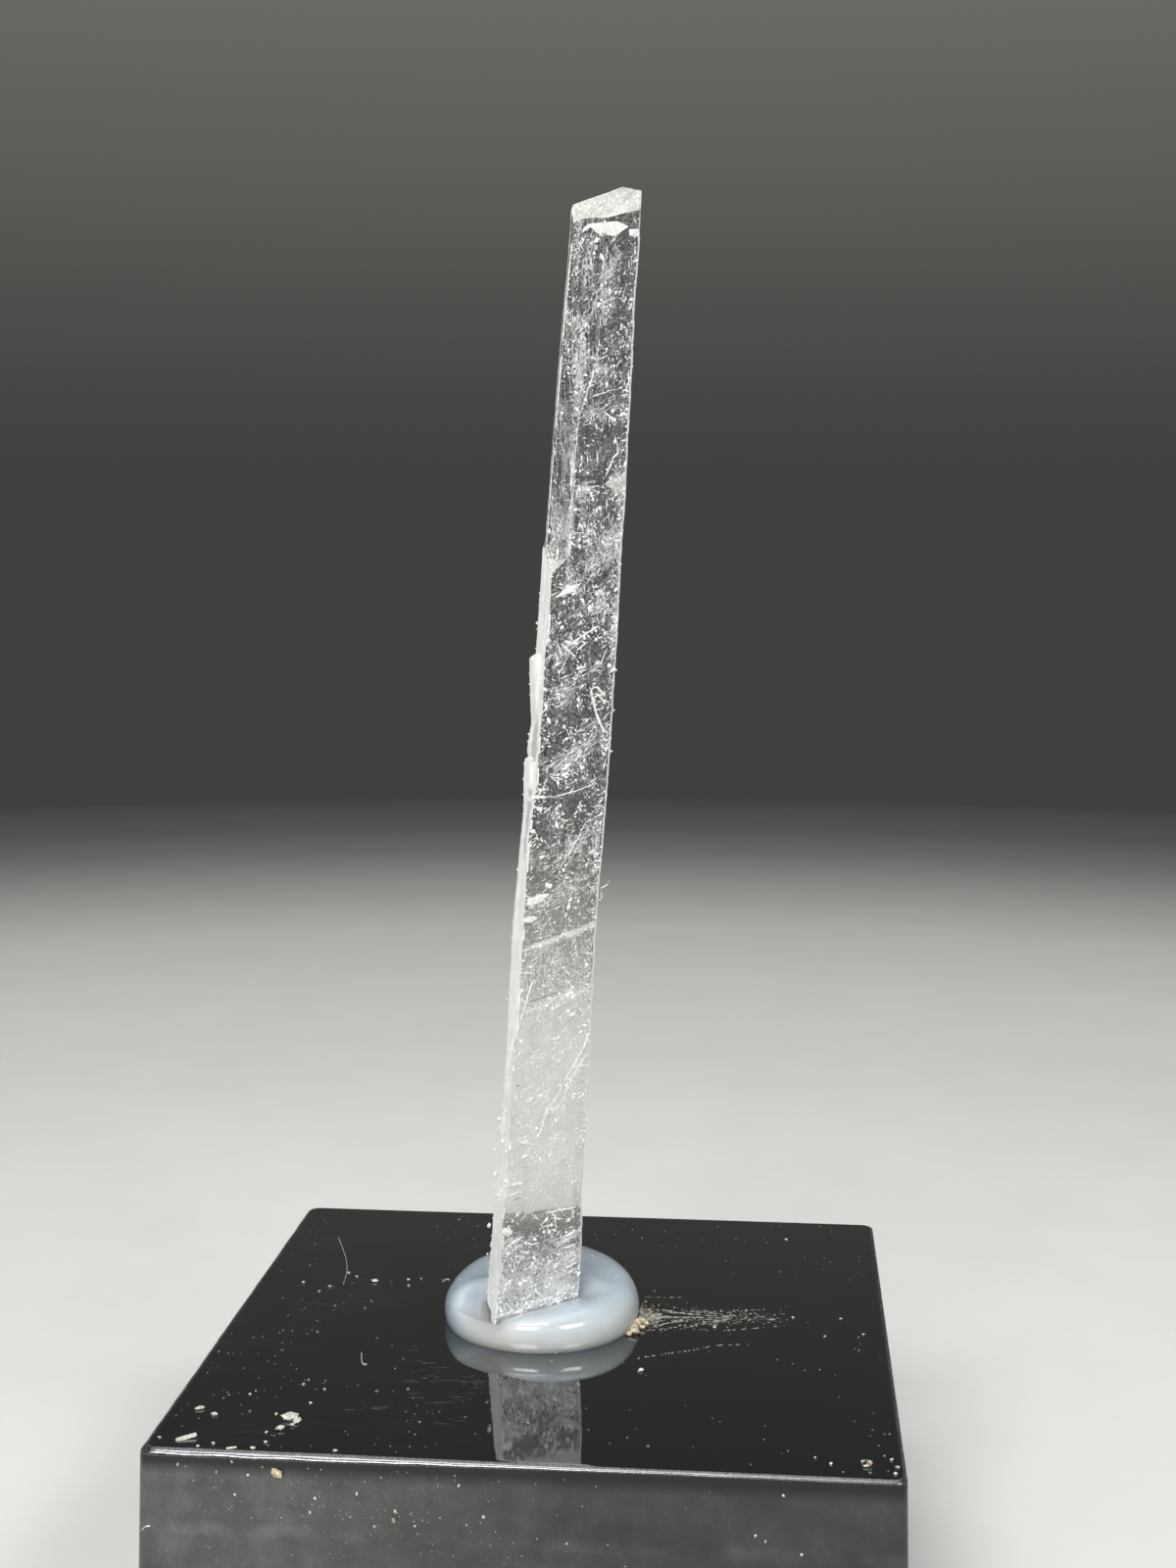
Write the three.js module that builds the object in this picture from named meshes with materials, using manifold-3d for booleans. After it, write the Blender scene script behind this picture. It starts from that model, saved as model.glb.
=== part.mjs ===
// A single clear nifontovite crystal, glued upright on a small black display block.
// Units are millimetres and +Z is up. The origin is the centre of the block's underside,
// +X is to the right and -Y is the side that the crystal's broad face is turned towards.

import * as THREE from 'three';
import { mergeVertices } from 'three/addons/utils/BufferGeometryUtils.js';
import { ConvexGeometry } from 'three/addons/geometries/ConvexGeometry.js';
import Module from 'manifold-3d';

const wasm = await Module();
wasm.setup();

// ---- Driving dimensions ----

// Display block: a square moulding that widens a little towards its base.
const BLOCK_TOP_SIDE = 19;
const BLOCK_HEIGHT = 9.5;
const BLOCK_DRAFT_DEG = 1.5;
const BLOCK_EDGE_RADIUS = 0.18;
const BLOCK_CORNER_RADIUS = 0.25;
const BLOCK_CORNER_STEPS = 4;
const BLOCK_EDGE_STEPS = 4;

// Crystal: a thin lath. X is across its broad face, Y is through it and Z is along it.
const CRYSTAL_LENGTH = 32.4;
const CRYSTAL_THICKNESS = 1.05;
const CRYSTAL_FOOT_WIDTH = 2.45;
const CRYSTAL_FOOT_X = -0.72;
const CRYSTAL_FOOT_Y = -0.71;
const CRYSTAL_YAW_DEG = 26;
const CRYSTAL_LEAN_DEG = 3.36;
const FOOT_OVERCUT = 0.5;

// Glue dab: a thick, nearly round drop, highest behind the crystal.
const GLUE_CENTRE_X = -0.49;
const GLUE_CENTRE_Y = 0.35;
const GLUE_RADIUS = { left: 2.72, right: 2.72, front: 2.78, back: 2.75 };
const GLUE_HEIGHT = { left: 1.15, right: 1.2, front: 1.12, back: 1.4 };
const GLUE_OVAL_POWER = 2.2;
const GLUE_CROWN_SHARE = 0.6;
const GLUE_STEPS_ROUND = 48;
const GLUE_POCKET_GAP = 0.25;

// Points closer than this are one corner.
const MERGE_DISTANCE = 1e-5;

// ---- Solids ----

/** A closed three.js geometry as a manifold solid. */
function toSolid(geometry) {
  const bare = geometry.clone();
  bare.deleteAttribute('normal');
  bare.deleteAttribute('uv');
  const merged = mergeVertices(bare, MERGE_DISTANCE);
  return new wasm.Manifold(new wasm.Mesh({
    numProp: 3,
    vertProperties: new Float32Array(merged.attributes.position.array),
    triVerts: new Uint32Array(merged.index.array),
  }));
}

/** A manifold solid as a flat-shaded three.js geometry. */
function toGeometry(solid) {
  const mesh = solid.getMesh();
  const geometry = new THREE.BufferGeometry();
  geometry.setAttribute('position', new THREE.BufferAttribute(mesh.vertProperties, 3));
  geometry.setIndex(new THREE.BufferAttribute(mesh.triVerts, 1));
  geometry.computeVertexNormals();
  return geometry;
}

/** The convex solid around a list of [x, y, z] points. */
function hull(points) {
  return toSolid(new ConvexGeometry(points.map((p) => new THREE.Vector3(...p))));
}

/** Joins rings of equal point count, lowest first, into one closed skin with flat end caps. */
function loft(rings) {
  const count = rings[0].length;
  const positions = rings.flat(2);
  const triangles = [];
  for (let r = 0; r < rings.length - 1; r += 1) {
    for (let i = 0; i < count; i += 1) {
      const a = r * count + i;
      const b = r * count + (i + 1) % count;
      triangles.push(a, b, b + count, a, b + count, a + count);
    }
  }
  const last = (rings.length - 1) * count;
  for (let i = 1; i < count - 1; i += 1) {
    triangles.push(0, i + 1, i);
    triangles.push(last, last + i, last + i + 1);
  }
  const geometry = new THREE.BufferGeometry();
  geometry.setAttribute('position', new THREE.Float32BufferAttribute(positions, 3));
  geometry.setIndex(triangles);
  geometry.computeVertexNormals();
  return geometry;
}

// ---- Display block ----

/** One level of the block: a square of the given half side with rounded corners. */
function roundedSquare(half, radius, z) {
  const ring = [];
  for (let corner = 0; corner < 4; corner += 1) {
    const start = corner * Math.PI / 2;
    const cx = (half - radius) * Math.SQRT2 * Math.cos(start + Math.PI / 4);
    const cy = (half - radius) * Math.SQRT2 * Math.sin(start + Math.PI / 4);
    for (let k = 0; k <= BLOCK_CORNER_STEPS; k += 1) {
      const angle = start + (k / BLOCK_CORNER_STEPS) * Math.PI / 2;
      ring.push([cx + radius * Math.cos(angle), cy + radius * Math.sin(angle), z]);
    }
  }
  return ring;
}

/** The block from its flat underside, up the drafted sides and over the rounded top edge. */
function blockGeometry() {
  const draft = Math.tan(THREE.MathUtils.degToRad(BLOCK_DRAFT_DEG));
  const topHalf = BLOCK_TOP_SIDE / 2;
  const rings = [roundedSquare(topHalf + BLOCK_HEIGHT * draft, BLOCK_CORNER_RADIUS, 0)];
  for (let k = 0; k <= BLOCK_EDGE_STEPS; k += 1) {
    const angle = (k / BLOCK_EDGE_STEPS) * Math.PI / 2;
    const inset = BLOCK_EDGE_RADIUS * (1 - Math.cos(angle));
    const z = BLOCK_HEIGHT - BLOCK_EDGE_RADIUS * (1 - Math.sin(angle));
    rings.push(roundedSquare(topHalf - inset, BLOCK_CORNER_RADIUS, z));
  }
  return loft(rings);
}

// ---- Crystal ----

// The right edge, as [height, how far it bows to the left of the straight line].
const RIGHT_EDGE = [
  [0, 0], [2, -0.03], [3.2, -0.02], [3.6, 0.07], [8, 0.06], [11.9, 0.11], [14.2, 0.04], [17, 0],
  [27.6, 0.01], [29.1, 0.05], [30.7, 0.01],
];

// The left edge, as [height, width of the crystal there]. Where the width jumps, a thin
// plate of the crystal ends in a small ledge.
const LEFT_EDGE = [
  [0, CRYSTAL_FOOT_WIDTH], [3.6, 2.34], [3.9, 2.22], [8, 2.19], [12.2, 2.15], [12.9, 2.11], [15, 2.12],
  [16.35, 2.19], [16.42, 2.09], [16.6, 2.12], [16.9, 2.07], [22.25, 1.98], [22.45, 1.92],
  [25, 1.86], [27.7, 1.79], [29, 1.71], [CRYSTAL_LENGTH, 1.66],
];

/** Reads a [height, value] list at any height, straight between its points. */
function at(list, height) {
  const next = list.findIndex(([h]) => h > height);
  if (next < 1) {
    return list[next < 0 ? list.length - 1 : 0][1];
  }
  const [h0, v0] = list[next - 1];
  const [h1, v1] = list[next];
  return v0 + (v1 - v0) * (height - h0) / (h1 - h0);
}

const rightX = (height) => CRYSTAL_FOOT_WIDTH / 2 - at(RIGHT_EDGE, height);
const leftX = (height) => rightX(height) - at(LEFT_EDGE, height);

const FRONT = -CRYSTAL_THICKNESS / 2;
const BACK = CRYSTAL_THICKNESS / 2;

/** The lath: its outline across the broad face, pushed through the thickness. */
function lath() {
  const shape = new THREE.Shape();
  shape.moveTo(leftX(0), -FOOT_OVERCUT);
  shape.lineTo(rightX(0), -FOOT_OVERCUT);
  RIGHT_EDGE.slice(1).forEach(([height]) => shape.lineTo(rightX(height), height));
  shape.lineTo(rightX(CRYSTAL_LENGTH), CRYSTAL_LENGTH);
  [...LEFT_EDGE].reverse().forEach(([height]) => shape.lineTo(leftX(height), height));
  const slab = new THREE.ExtrudeGeometry(shape, { depth: CRYSTAL_THICKNESS, bevelEnabled: false });
  slab.rotateX(Math.PI / 2);
  slab.translate(0, BACK, 0);
  return toSolid(slab);
}

// The broken tip is two facets, each given by its height at the lath's four corners. The broad
// one slopes down to the front and a little to the left. The steep one bevels the front edge.
const TIP_FACETS = [
  { frontLeft: 31.05, frontRight: 32.12, backLeft: 31.75, backRight: 32.4 },
  { frontLeft: 31.08, frontRight: 31.55, backLeft: 36, backRight: 36.4 },
];

/** Everything above one facet, as a block that reaches past the crystal on every side. */
function above({ frontLeft, frontRight, backLeft, backRight }) {
  const reach = 0.5;
  const roof = 2 * CRYSTAL_LENGTH;
  const x0 = leftX(CRYSTAL_LENGTH) - reach;
  const x1 = rightX(CRYSTAL_LENGTH) + reach;
  const y0 = FRONT - reach;
  const y1 = BACK + reach;
  const acrossFront = reach * (frontRight - frontLeft) / at(LEFT_EDGE, CRYSTAL_LENGTH);
  const acrossBack = reach * (backRight - backLeft) / at(LEFT_EDGE, CRYSTAL_LENGTH);
  const through = reach * (backLeft - frontLeft) / CRYSTAL_THICKNESS;
  return hull([
    [x0, y0, frontLeft - acrossFront - through], [x1, y0, frontRight + acrossFront - through],
    [x0, y1, backLeft - acrossBack + through], [x1, y1, backRight + acrossBack + through],
    [x0, y0, roof], [x1, y0, roof],
    [x0, y1, roof], [x1, y1, roof],
  ]);
}

// The long flake that has split off the front left corner, from a ledge up to the tip.
const FLAKE = {
  ledgeLow: 21.65, ledgeHigh: 22.25, widthLow: 0.36, widthHigh: 0.55, depthLow: 0.84, depthHigh: 0.8,
};

/** The wedge-shaped scar that the split flake leaves, cut from a little outside the corner. */
function flakeScar() {
  const out = 0.12;
  const corner = (height, width, depth) => {
    const x = leftX(height);
    const slope = depth / width;
    return [
      [x - out, FRONT - out, height],
      [x + width + out / slope, FRONT - out, height],
      [x - out, FRONT + depth + out * slope, height],
    ];
  };
  const pastTip = CRYSTAL_LENGTH + 1;
  const high = corner(pastTip, FLAKE.widthHigh, FLAKE.depthHigh);
  const low = corner(FLAKE.ledgeHigh, FLAKE.widthLow, FLAKE.depthLow);
  low[0][2] = FLAKE.ledgeLow - out;
  low[1][2] = FLAKE.ledgeLow - out;
  return hull([...low, ...high]);
}

// Shallow chips out of the front face: centre, half size across and along, and depth.
const CHIPS = [
  { x: 0.05, z: 30.85, across: 0.7, along: 0.27, depth: 0.38 },
  { x: 1.0, z: 24.1, across: 0.32, along: 0.36, depth: 0.14 },
  { x: -0.3, z: 21.15, across: 0.36, along: 0.24, depth: 0.1 },
];

/** A shallow scallop: a skewed four-cornered pyramid pushed into the front face. */
function chip({ x, z, across, along, depth }) {
  const outside = FRONT - 0.2;
  const skewX = across / 3;
  const skewZ = along / 3;
  const corners = [
    [x - across, z - skewZ], [x + across, z + skewZ],
    [x - skewX, z + along], [x + skewX, z - along],
  ];
  return hull([
    ...corners.map(([cx, cz]) => [cx, FRONT, cz]),
    ...corners.map(([cx, cz]) => [cx, outside, cz]),
    [x, FRONT + depth, z],
  ]);
}

// Thin splinters that stand out of the left side. Each is full at its blunt top and runs out
// into the side at its foot.
const SPLINTERS = [
  { low: 17.2, high: 19.25, out: 0.2, y0: -0.3, y1: 0.42, blunt: 0.12 },
  { low: 11.2, high: 12.4, out: 0.06, y0: -0.2, y1: 0.4, blunt: 0.3 },
  { low: 4.6, high: 6.1, out: 0.05, y0: -0.4, y1: 0.3, blunt: 0.5 },
];

/** One splinter, rooted a little way inside the crystal. */
function splinter({ low, high, out, y0, y1, blunt }) {
  const root = 0.3;
  const sunk = 0.01;
  const shoulder = high - blunt;
  const outline = [
    [leftX(low) + sunk, low],
    [leftX(shoulder) - out, shoulder],
    [leftX(high) - out * 0.7, high],
    [leftX(low) + root, low],
    [leftX(high) + root, high],
  ];
  return hull([
    ...outline.map(([x, z]) => [x, y0, z]),
    ...outline.map(([x, z]) => [x, y1, z]),
  ]);
}

/** Turns a solid from the crystal's own axes to its stance on the block, foot at the origin. */
function stand(solid) {
  return solid.rotate(0, CRYSTAL_LEAN_DEG, CRYSTAL_YAW_DEG);
}

/** A slab under the block's top plane, which cuts the foot off level. */
function belowFoot() {
  const width = 4 * CRYSTAL_FOOT_WIDTH;
  const depth = 4 * FOOT_OVERCUT;
  const slab = new THREE.BoxGeometry(width, width, depth);
  slab.translate(0, 0, -depth / 2);
  return toSolid(slab);
}

function crystalSolid() {
  let crystal = lath();
  SPLINTERS.forEach((s) => { crystal = crystal.add(splinter(s)); });
  crystal = crystal.subtract(flakeScar());
  TIP_FACETS.forEach((facet) => { crystal = crystal.subtract(above(facet)); });
  CHIPS.forEach((c) => { crystal = crystal.subtract(chip(c)); });
  return stand(crystal).subtract(belowFoot());
}

// ---- Glue dab ----

// The drop's section, as [share of its radius, share of its height]: it bulges over its
// contact line and rounds over into a nearly flat crown.
const GLUE_SECTION = [
  [1, 0], [1.03, 0.18], [1.03, 0.35], [1, 0.52], [0.94, 0.68], [0.85, 0.81], [0.72, 0.91],
  [0.55, 0.97], [0.3, 1],
];

/** The drop before the crystal's foot is taken out of it, centred on its own middle. */
function gluedrop() {
  const oval = (angle) => {
    const c = Math.cos(angle);
    const s = Math.sin(angle);
    const a = c > 0 ? GLUE_RADIUS.right : GLUE_RADIUS.left;
    const b = s > 0 ? GLUE_RADIUS.back : GLUE_RADIUS.front;
    const power = GLUE_OVAL_POWER;
    return (Math.abs(c / a) ** power + Math.abs(s / b) ** power) ** (-1 / power);
  };
  const heights = Object.values(GLUE_HEIGHT);
  const middle = heights.reduce((sum, h) => sum + h, 0) / heights.length;
  const height = (angle, share) => {
    const c = Math.cos(angle);
    const s = Math.sin(angle);
    const side = c > 0 ? GLUE_HEIGHT.right : GLUE_HEIGHT.left;
    const end = s > 0 ? GLUE_HEIGHT.back : GLUE_HEIGHT.front;
    const rim = Math.min(1, share / GLUE_CROWN_SHARE);
    return (side * c * c + end * s * s) * rim + middle * (1 - rim);
  };
  const rings = GLUE_SECTION.map(([share, up]) => {
    const ring = [];
    for (let i = 0; i < GLUE_STEPS_ROUND; i += 1) {
      const angle = (i / GLUE_STEPS_ROUND) * Math.PI * 2;
      const r = oval(angle) * share;
      ring.push([r * Math.cos(angle), r * Math.sin(angle), height(angle, share) * up]);
    }
    return ring;
  });
  return toSolid(loft(rings));
}

/** The slot that the crystal's foot stands in, wider than the foot by the gap all round. */
function footSlot() {
  const slot = new THREE.BoxGeometry(
    CRYSTAL_FOOT_WIDTH + 2 * GLUE_POCKET_GAP,
    CRYSTAL_THICKNESS + 2 * GLUE_POCKET_GAP,
    4 * GLUE_HEIGHT.back,
  );
  return stand(toSolid(slot)).translate(
    CRYSTAL_FOOT_X - GLUE_CENTRE_X,
    CRYSTAL_FOOT_Y - GLUE_CENTRE_Y,
    0,
  );
}

// ---- The three pieces ----

function piece(name, geometry, colour, roughness, metalness) {
  const material = new THREE.MeshStandardMaterial({ color: colour, roughness, metalness });
  const mesh = new THREE.Mesh(geometry, material);
  mesh.name = name;
  return mesh;
}

const block = piece('display_block', blockGeometry(), 0x101012, 0.08, 0);

const crystal = piece('nifontovite_crystal', toGeometry(crystalSolid()), 0xe9eeee, 0.1, 0);
crystal.position.set(CRYSTAL_FOOT_X, CRYSTAL_FOOT_Y, BLOCK_HEIGHT);

const glue = piece('glue_dab', toGeometry(gluedrop().subtract(footSlot())), 0xb9c4d0, 0.2, 0);
glue.position.set(GLUE_CENTRE_X, GLUE_CENTRE_Y, BLOCK_HEIGHT);

const specimen = new THREE.Group();
specimen.add(block, glue, crystal);

export default specimen;
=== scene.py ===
"""The looks of a clear nifontovite crystal that is glued upright on a glossy black display block.

Shapes are worked out in millimetres over the block's top face and turned into metres when a mesh
is made. The crystal has its own axes: u runs across its broad face to the right, v runs through it
from front to back, and z is the height over the block's top.
"""

import math
import random
from functools import reduce

import bmesh
import bpy
import numpy as np
from mathutils import Matrix, Vector, noise


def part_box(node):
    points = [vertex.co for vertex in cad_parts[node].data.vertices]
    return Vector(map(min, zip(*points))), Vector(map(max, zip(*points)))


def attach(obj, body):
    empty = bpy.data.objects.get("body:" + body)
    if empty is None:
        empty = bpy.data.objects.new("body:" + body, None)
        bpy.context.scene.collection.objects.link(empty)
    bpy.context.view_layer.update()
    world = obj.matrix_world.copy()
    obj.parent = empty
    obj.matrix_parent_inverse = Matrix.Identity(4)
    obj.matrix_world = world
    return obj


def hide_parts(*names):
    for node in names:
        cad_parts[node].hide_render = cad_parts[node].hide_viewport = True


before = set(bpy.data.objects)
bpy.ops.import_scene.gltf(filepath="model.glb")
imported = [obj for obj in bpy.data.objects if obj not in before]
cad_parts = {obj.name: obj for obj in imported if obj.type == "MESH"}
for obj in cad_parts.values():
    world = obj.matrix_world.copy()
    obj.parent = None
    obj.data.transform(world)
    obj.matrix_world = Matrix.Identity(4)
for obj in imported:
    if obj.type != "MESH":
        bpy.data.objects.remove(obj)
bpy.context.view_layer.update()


MM = 0.001
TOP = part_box("display_block")[1].z / MM
# Corners nearer than this to each other are merged into one, in millimetres.
MERGE_DISTANCE = 0.0005

# ---- small helpers ----


def lerp_list(points, x):
    """Reads a list of (x, value) pairs, straight between its points."""
    return float(np.interp(x, *zip(*points)))


def smooth(edge0, edge1, x):
    """A smooth step from 0 at edge0 to 1 at edge1."""
    t = min(1.0, max(0.0, (x - edge0) / (edge1 - edge0)))
    return t * t * (3 - 2 * t)


def between(a, b, t):
    """The point that is the share t of the way from a to b."""
    return tuple(p + (q - p) * t for p, q in zip(a, b))


def shares(count):
    """Evenly spaced numbers from 0 to 1."""
    return [i / (count - 1) for i in range(count)]


def unit(vector):
    """A vector cut or stretched to a length of 1."""
    return vector / (np.linalg.norm(vector) + 1e-9)


def wobble(x, y, z, scale, seed=0.0):
    """Smooth noise from -1 to 1 at a point in millimetres; scale is the size of its lumps."""
    return noise.noise(Vector((x / scale + seed, y / scale - seed, z / scale + 2 * seed)))


def to_metres(points):
    """Points in millimetres over the block's top, in the object's own metres."""
    return [(x * MM, y * MM, (z + TOP) * MM) for x, y, z in points]


def ring_faces(rings, count):
    """The faces between closed rings of corners, laid one after another."""
    return [
        (r + i, r + (i + 1) % count, r + count + (i + 1) % count, r + count + i)
        for r in range(0, (rings - 1) * count, count) for i in range(count)
    ]


def end_faces(rings, count):
    """The flat faces that close the first and the last of the rings."""
    return [tuple(range(count - 1, -1, -1)), tuple(range((rings - 1) * count, rings * count))]


def add_object(name, data):
    obj = bpy.data.objects.new(name, data)
    bpy.context.scene.collection.objects.link(obj)
    return obj


def round_off(mesh, sharp):
    """Shades a mesh smooth, apart from edges that turn by more than sharp degrees.

    Corners that lie on each other are merged first, so no face is left without an area."""
    work = bmesh.new()
    work.from_mesh(mesh)
    bmesh.ops.remove_doubles(work, verts=work.verts, dist=MERGE_DISTANCE * MM)
    work.to_mesh(mesh)
    work.free()
    mesh.shade_smooth()
    mesh.set_sharp_from_angle(angle=math.radians(sharp))


def piece(name, verts, faces, materials, face_materials=None, sharp=None):
    """A mesh piece from millimetre points over the block's top, riding on the object."""
    mesh = bpy.data.meshes.new(name)
    mesh.from_pydata(to_metres(verts), [], faces)
    mesh.validate()
    for material in materials:
        mesh.materials.append(material)
    if face_materials is not None:
        mesh.polygons.foreach_set("material_index", face_materials)
    if sharp is None:
        mesh.shade_flat()
    else:
        round_off(mesh, sharp)
    mesh.update()
    obj = add_object(name, mesh)
    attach(obj, "root")
    return obj


# ---- materials ----

# How far the crystal is turned about the vertical.
YAW = math.radians(26)
# Turns for streaks: along the crystal's own axes, and slanting up across its broad face.
CRYSTAL_TURN = (0, 0, YAW)
SLANT_TURN = (0, math.radians(-33), YAW)
MINERAL_IOR = 1.58
# The middle of the glue on the block, as (x, y).
GLUE_MIDDLE = (-0.49, 0.35)


class Tree:
    """Short forms for building a tree of shader nodes. A value is a socket or a plain number."""

    def __init__(self, tree):
        self.tree = tree

    def link(self, value, socket):
        if isinstance(value, bpy.types.NodeSocket):
            self.tree.links.new(value, socket)
        else:
            socket.default_value = value

    def node(self, kind, inputs=None, **settings):
        made = self.tree.nodes.new(kind)
        for name, value in settings.items():
            setattr(made, name, value)
        for name, value in (inputs or {}).items():
            self.link(value, made.inputs[name])
        return made

    def ramp(self, value, low, high, to_low=0.0, to_high=1.0, **settings):
        """Stretches low..high to to_low..to_high, and stays level beyond the two ends."""
        inputs = {"Value": value, "From Min": low, "From Max": high, "To Min": to_low,
                  "To Max": to_high}
        return self.node("ShaderNodeMapRange", inputs, **settings).outputs["Result"]

    def math(self, operation, a, b=0.0):
        return self.node("ShaderNodeMath", {0: a, 1: b}, operation=operation).outputs[0]

    def times(self, *values):
        return reduce(lambda a, b: self.math("MULTIPLY", a, b), values)

    def plus(self, *values):
        return reduce(lambda a, b: self.math("ADD", a, b), values)

    def colours(self, value, *ends):
        """Mixes two colours, or a colour socket and a colour, by value."""
        low, high = (c if isinstance(c, bpy.types.NodeSocket) else (*c, 1) for c in ends)
        mix = self.node("ShaderNodeMix", {0: value, 6: low, 7: high}, data_type="RGBA")
        return mix.outputs[2]


class Nodes(Tree):
    """Short forms for building one node material, with sizes in millimetres."""

    def __init__(self, name):
        self.material = bpy.data.materials.new(name)
        self.material.use_nodes = True
        super().__init__(self.material.node_tree)
        self.shader = self.tree.nodes["Principled BSDF"]
        self.place = self.node("ShaderNodeTexCoord").outputs["Object"]

    def set(self, **values):
        """Sets the shader's sockets, named with _ for a space."""
        for name, value in values.items():
            self.link(value, self.shader.inputs[name.replace("_", " ")])

    def noise(self, size, turn=(0, 0, 0), detail=3.0, rough=0.55):
        """Noise whose lumps have a size along axes that are turned by turn."""
        place = self.node(
            "ShaderNodeMapping",
            {"Vector": self.place, "Rotation": turn, "Scale": [MM * s for s in size]},
            vector_type="TEXTURE",
        ).outputs["Vector"]
        inputs = {"Vector": place, "Scale": 1.0, "Detail": detail, "Roughness": rough}
        return self.node("ShaderNodeTexNoise", inputs).outputs["Fac"]

    def along(self, axis):
        """The place along X or Y from the middle, or along Z over the block's top."""
        split = self.node("ShaderNodeSeparateXYZ", {"Vector": self.place})
        over = TOP if axis == "Z" else 0.0
        return self.math("SUBTRACT", self.math("MULTIPLY", split.outputs[axis], 1 / MM), over)

    def bump(self, height, distance, strength):
        inputs = {"Height": height, "Distance": distance * MM, "Strength": strength}
        self.set(Normal=self.node("ShaderNodeBump", inputs).outputs["Normal"])


def clear_material(name, haze, upright, slant, whiteness=1.0, depth_low=0.16):
    """Clear mineral under a thin whitish film, which is etched away in grains and streaks.

    upright and slant say how strongly the streaks up the crystal and across it show, and
    depth_low how deeply they cut low on the crystal, where the film is most even."""
    n = Nodes(name)
    n.set(Transmission_Weight=1 - haze, IOR=MINERAL_IOR)
    grain = n.noise((0.06, 0.06, 0.07), CRYSTAL_TURN, 2.0, 0.6)
    rising = n.noise((0.035, 0.3, 0.9), CRYSTAL_TURN, 2.0, 0.6)
    crossing = n.noise((0.9, 0.3, 0.035), SLANT_TURN, 2.0, 0.6)
    cloud = n.noise((0.4, 0.4, 0.7), CRYSTAL_TURN, 3.0, 0.6)
    film = n.plus(
        n.ramp(grain, 0.42, 0.64, 0, 0.6),
        n.ramp(rising, 0.44, 0.68, 0, upright),
        n.ramp(crossing, 0.44, 0.68, 0, slant),
    )
    film = n.times(film, n.ramp(cloud, 0.32, 0.62, 0.45, 1.1))
    z = n.along("Z")
    high = n.ramp(z, 8.5, 14.5, depth_low, 0.90)
    foot = n.times(n.ramp(z, 3.9, 3.4, 0.0, 0.58), n.ramp(z, 3.0, 2.2, 1.0, 0.6))
    depth = n.math("MAXIMUM", high, foot)
    level = n.math("SUBTRACT", whiteness, n.times(depth, n.ramp(film, 0.0, 1.0, 1.0, 0.0)))
    n.set(Base_Color=n.colours(level, (0, 0, 0), (1.0, 1.0, 0.98)),
          Roughness=n.ramp(grain, 0.4, 0.7, 0.03, 0.28))
    n.bump(n.plus(grain, n.times(rising, upright), n.times(crossing, slant)), 0.02, 0.35)
    # Plain absorption inside the crystal; its density is per metre.
    inside = {"Color": (0.93, 0.935, 0.91, 1), "Density": 15.0}
    n.link(n.node("ShaderNodeVolumeAbsorption", inside).outputs["Volume"],
           n.tree.nodes["Material Output"].inputs["Volume"])
    return n.material


def frost_material(name, colour, transmission, grain, streak, contrast):
    """White, broken or etched mineral: fine grains, drawn out along the crystal by streak."""
    n = Nodes(name)
    n.set(Transmission_Weight=transmission, IOR=MINERAL_IOR)
    fine = n.noise((grain, grain, grain * streak), CRYSTAL_TURN, 4.0, 0.6)
    broad = n.noise((0.2, 0.25, 1.1), CRYSTAL_TURN, 3.0, 0.6)
    tone = n.times(n.ramp(fine, 0.32, 0.60), n.ramp(broad, 0.3, 0.6, 0.55, 1.0))
    n.set(Base_Color=n.colours(tone, [c * contrast for c in colour], colour),
          Roughness=n.ramp(fine, 0.3, 0.7, 0.35, 0.65))
    n.bump(fine, 0.03, 0.8)
    return n.material


def speck_material(name, colour, dark_share, roughness, transmission=0.0):
    """Crumbs, flecks and fibres: one tint that varies from grain to grain."""
    n = Nodes(name)
    tone = n.ramp(n.noise((0.08, 0.08, 0.08), detail=2.0), 0.35, 0.65)
    n.set(IOR=1.5, Roughness=roughness, Transmission_Weight=transmission,
          Base_Color=n.colours(tone, [c * dark_share for c in colour], colour))
    return n.material


def glue_material(name, low, high, left):
    """Thick milky soft glue with a wet skin. Its colour holds a painted glow, palest low on the
    rim, and painted shade, darkest at the left end.
    """
    n = Nodes(name)
    n.set(Subsurface_Weight=1.0, Subsurface_Scale=2.8 * MM, Subsurface_Radius=(0.8, 0.95, 1.15),
          IOR=1.45, Coat_Weight=0.6, Coat_Roughness=0.06)
    dx, dy = (n.math("SUBTRACT", n.along(axis), mid) for axis, mid in zip("XY", GLUE_MIDDLE))
    apart = n.math("SQRT", n.plus(n.times(dx, dx), n.times(dy, dy)))
    broad = n.noise((1.2, 1.2, 0.8), detail=2.0)
    # Painted glow: the colour is palest low down and towards the rim, and bluer higher up and
    # nearer the middle.
    painted_glow_fade = n.plus(n.along("Z"), n.ramp(broad, 0.3, 0.7, -0.15, 0.15),
                  n.ramp(apart, 2.4, 1.7, 0.0, 0.6))
    milk_with_painted_glow = n.colours(n.ramp(painted_glow_fade, 0.25, 1.05), low, high)
    # Painted shade: the colour darkens towards left at the glue's left end.
    n.set(Base_Color=n.colours(n.ramp(n.along("X"), -1.5, -3.1), milk_with_painted_glow, left),
          Roughness=n.ramp(n.noise((0.08, 0.08, 0.08)), 0.3, 0.75, 0.12, 0.24))
    n.bump(n.noise((0.5, 0.5, 0.5), detail=2.0), 0.03, 0.4)
    return n.material


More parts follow.
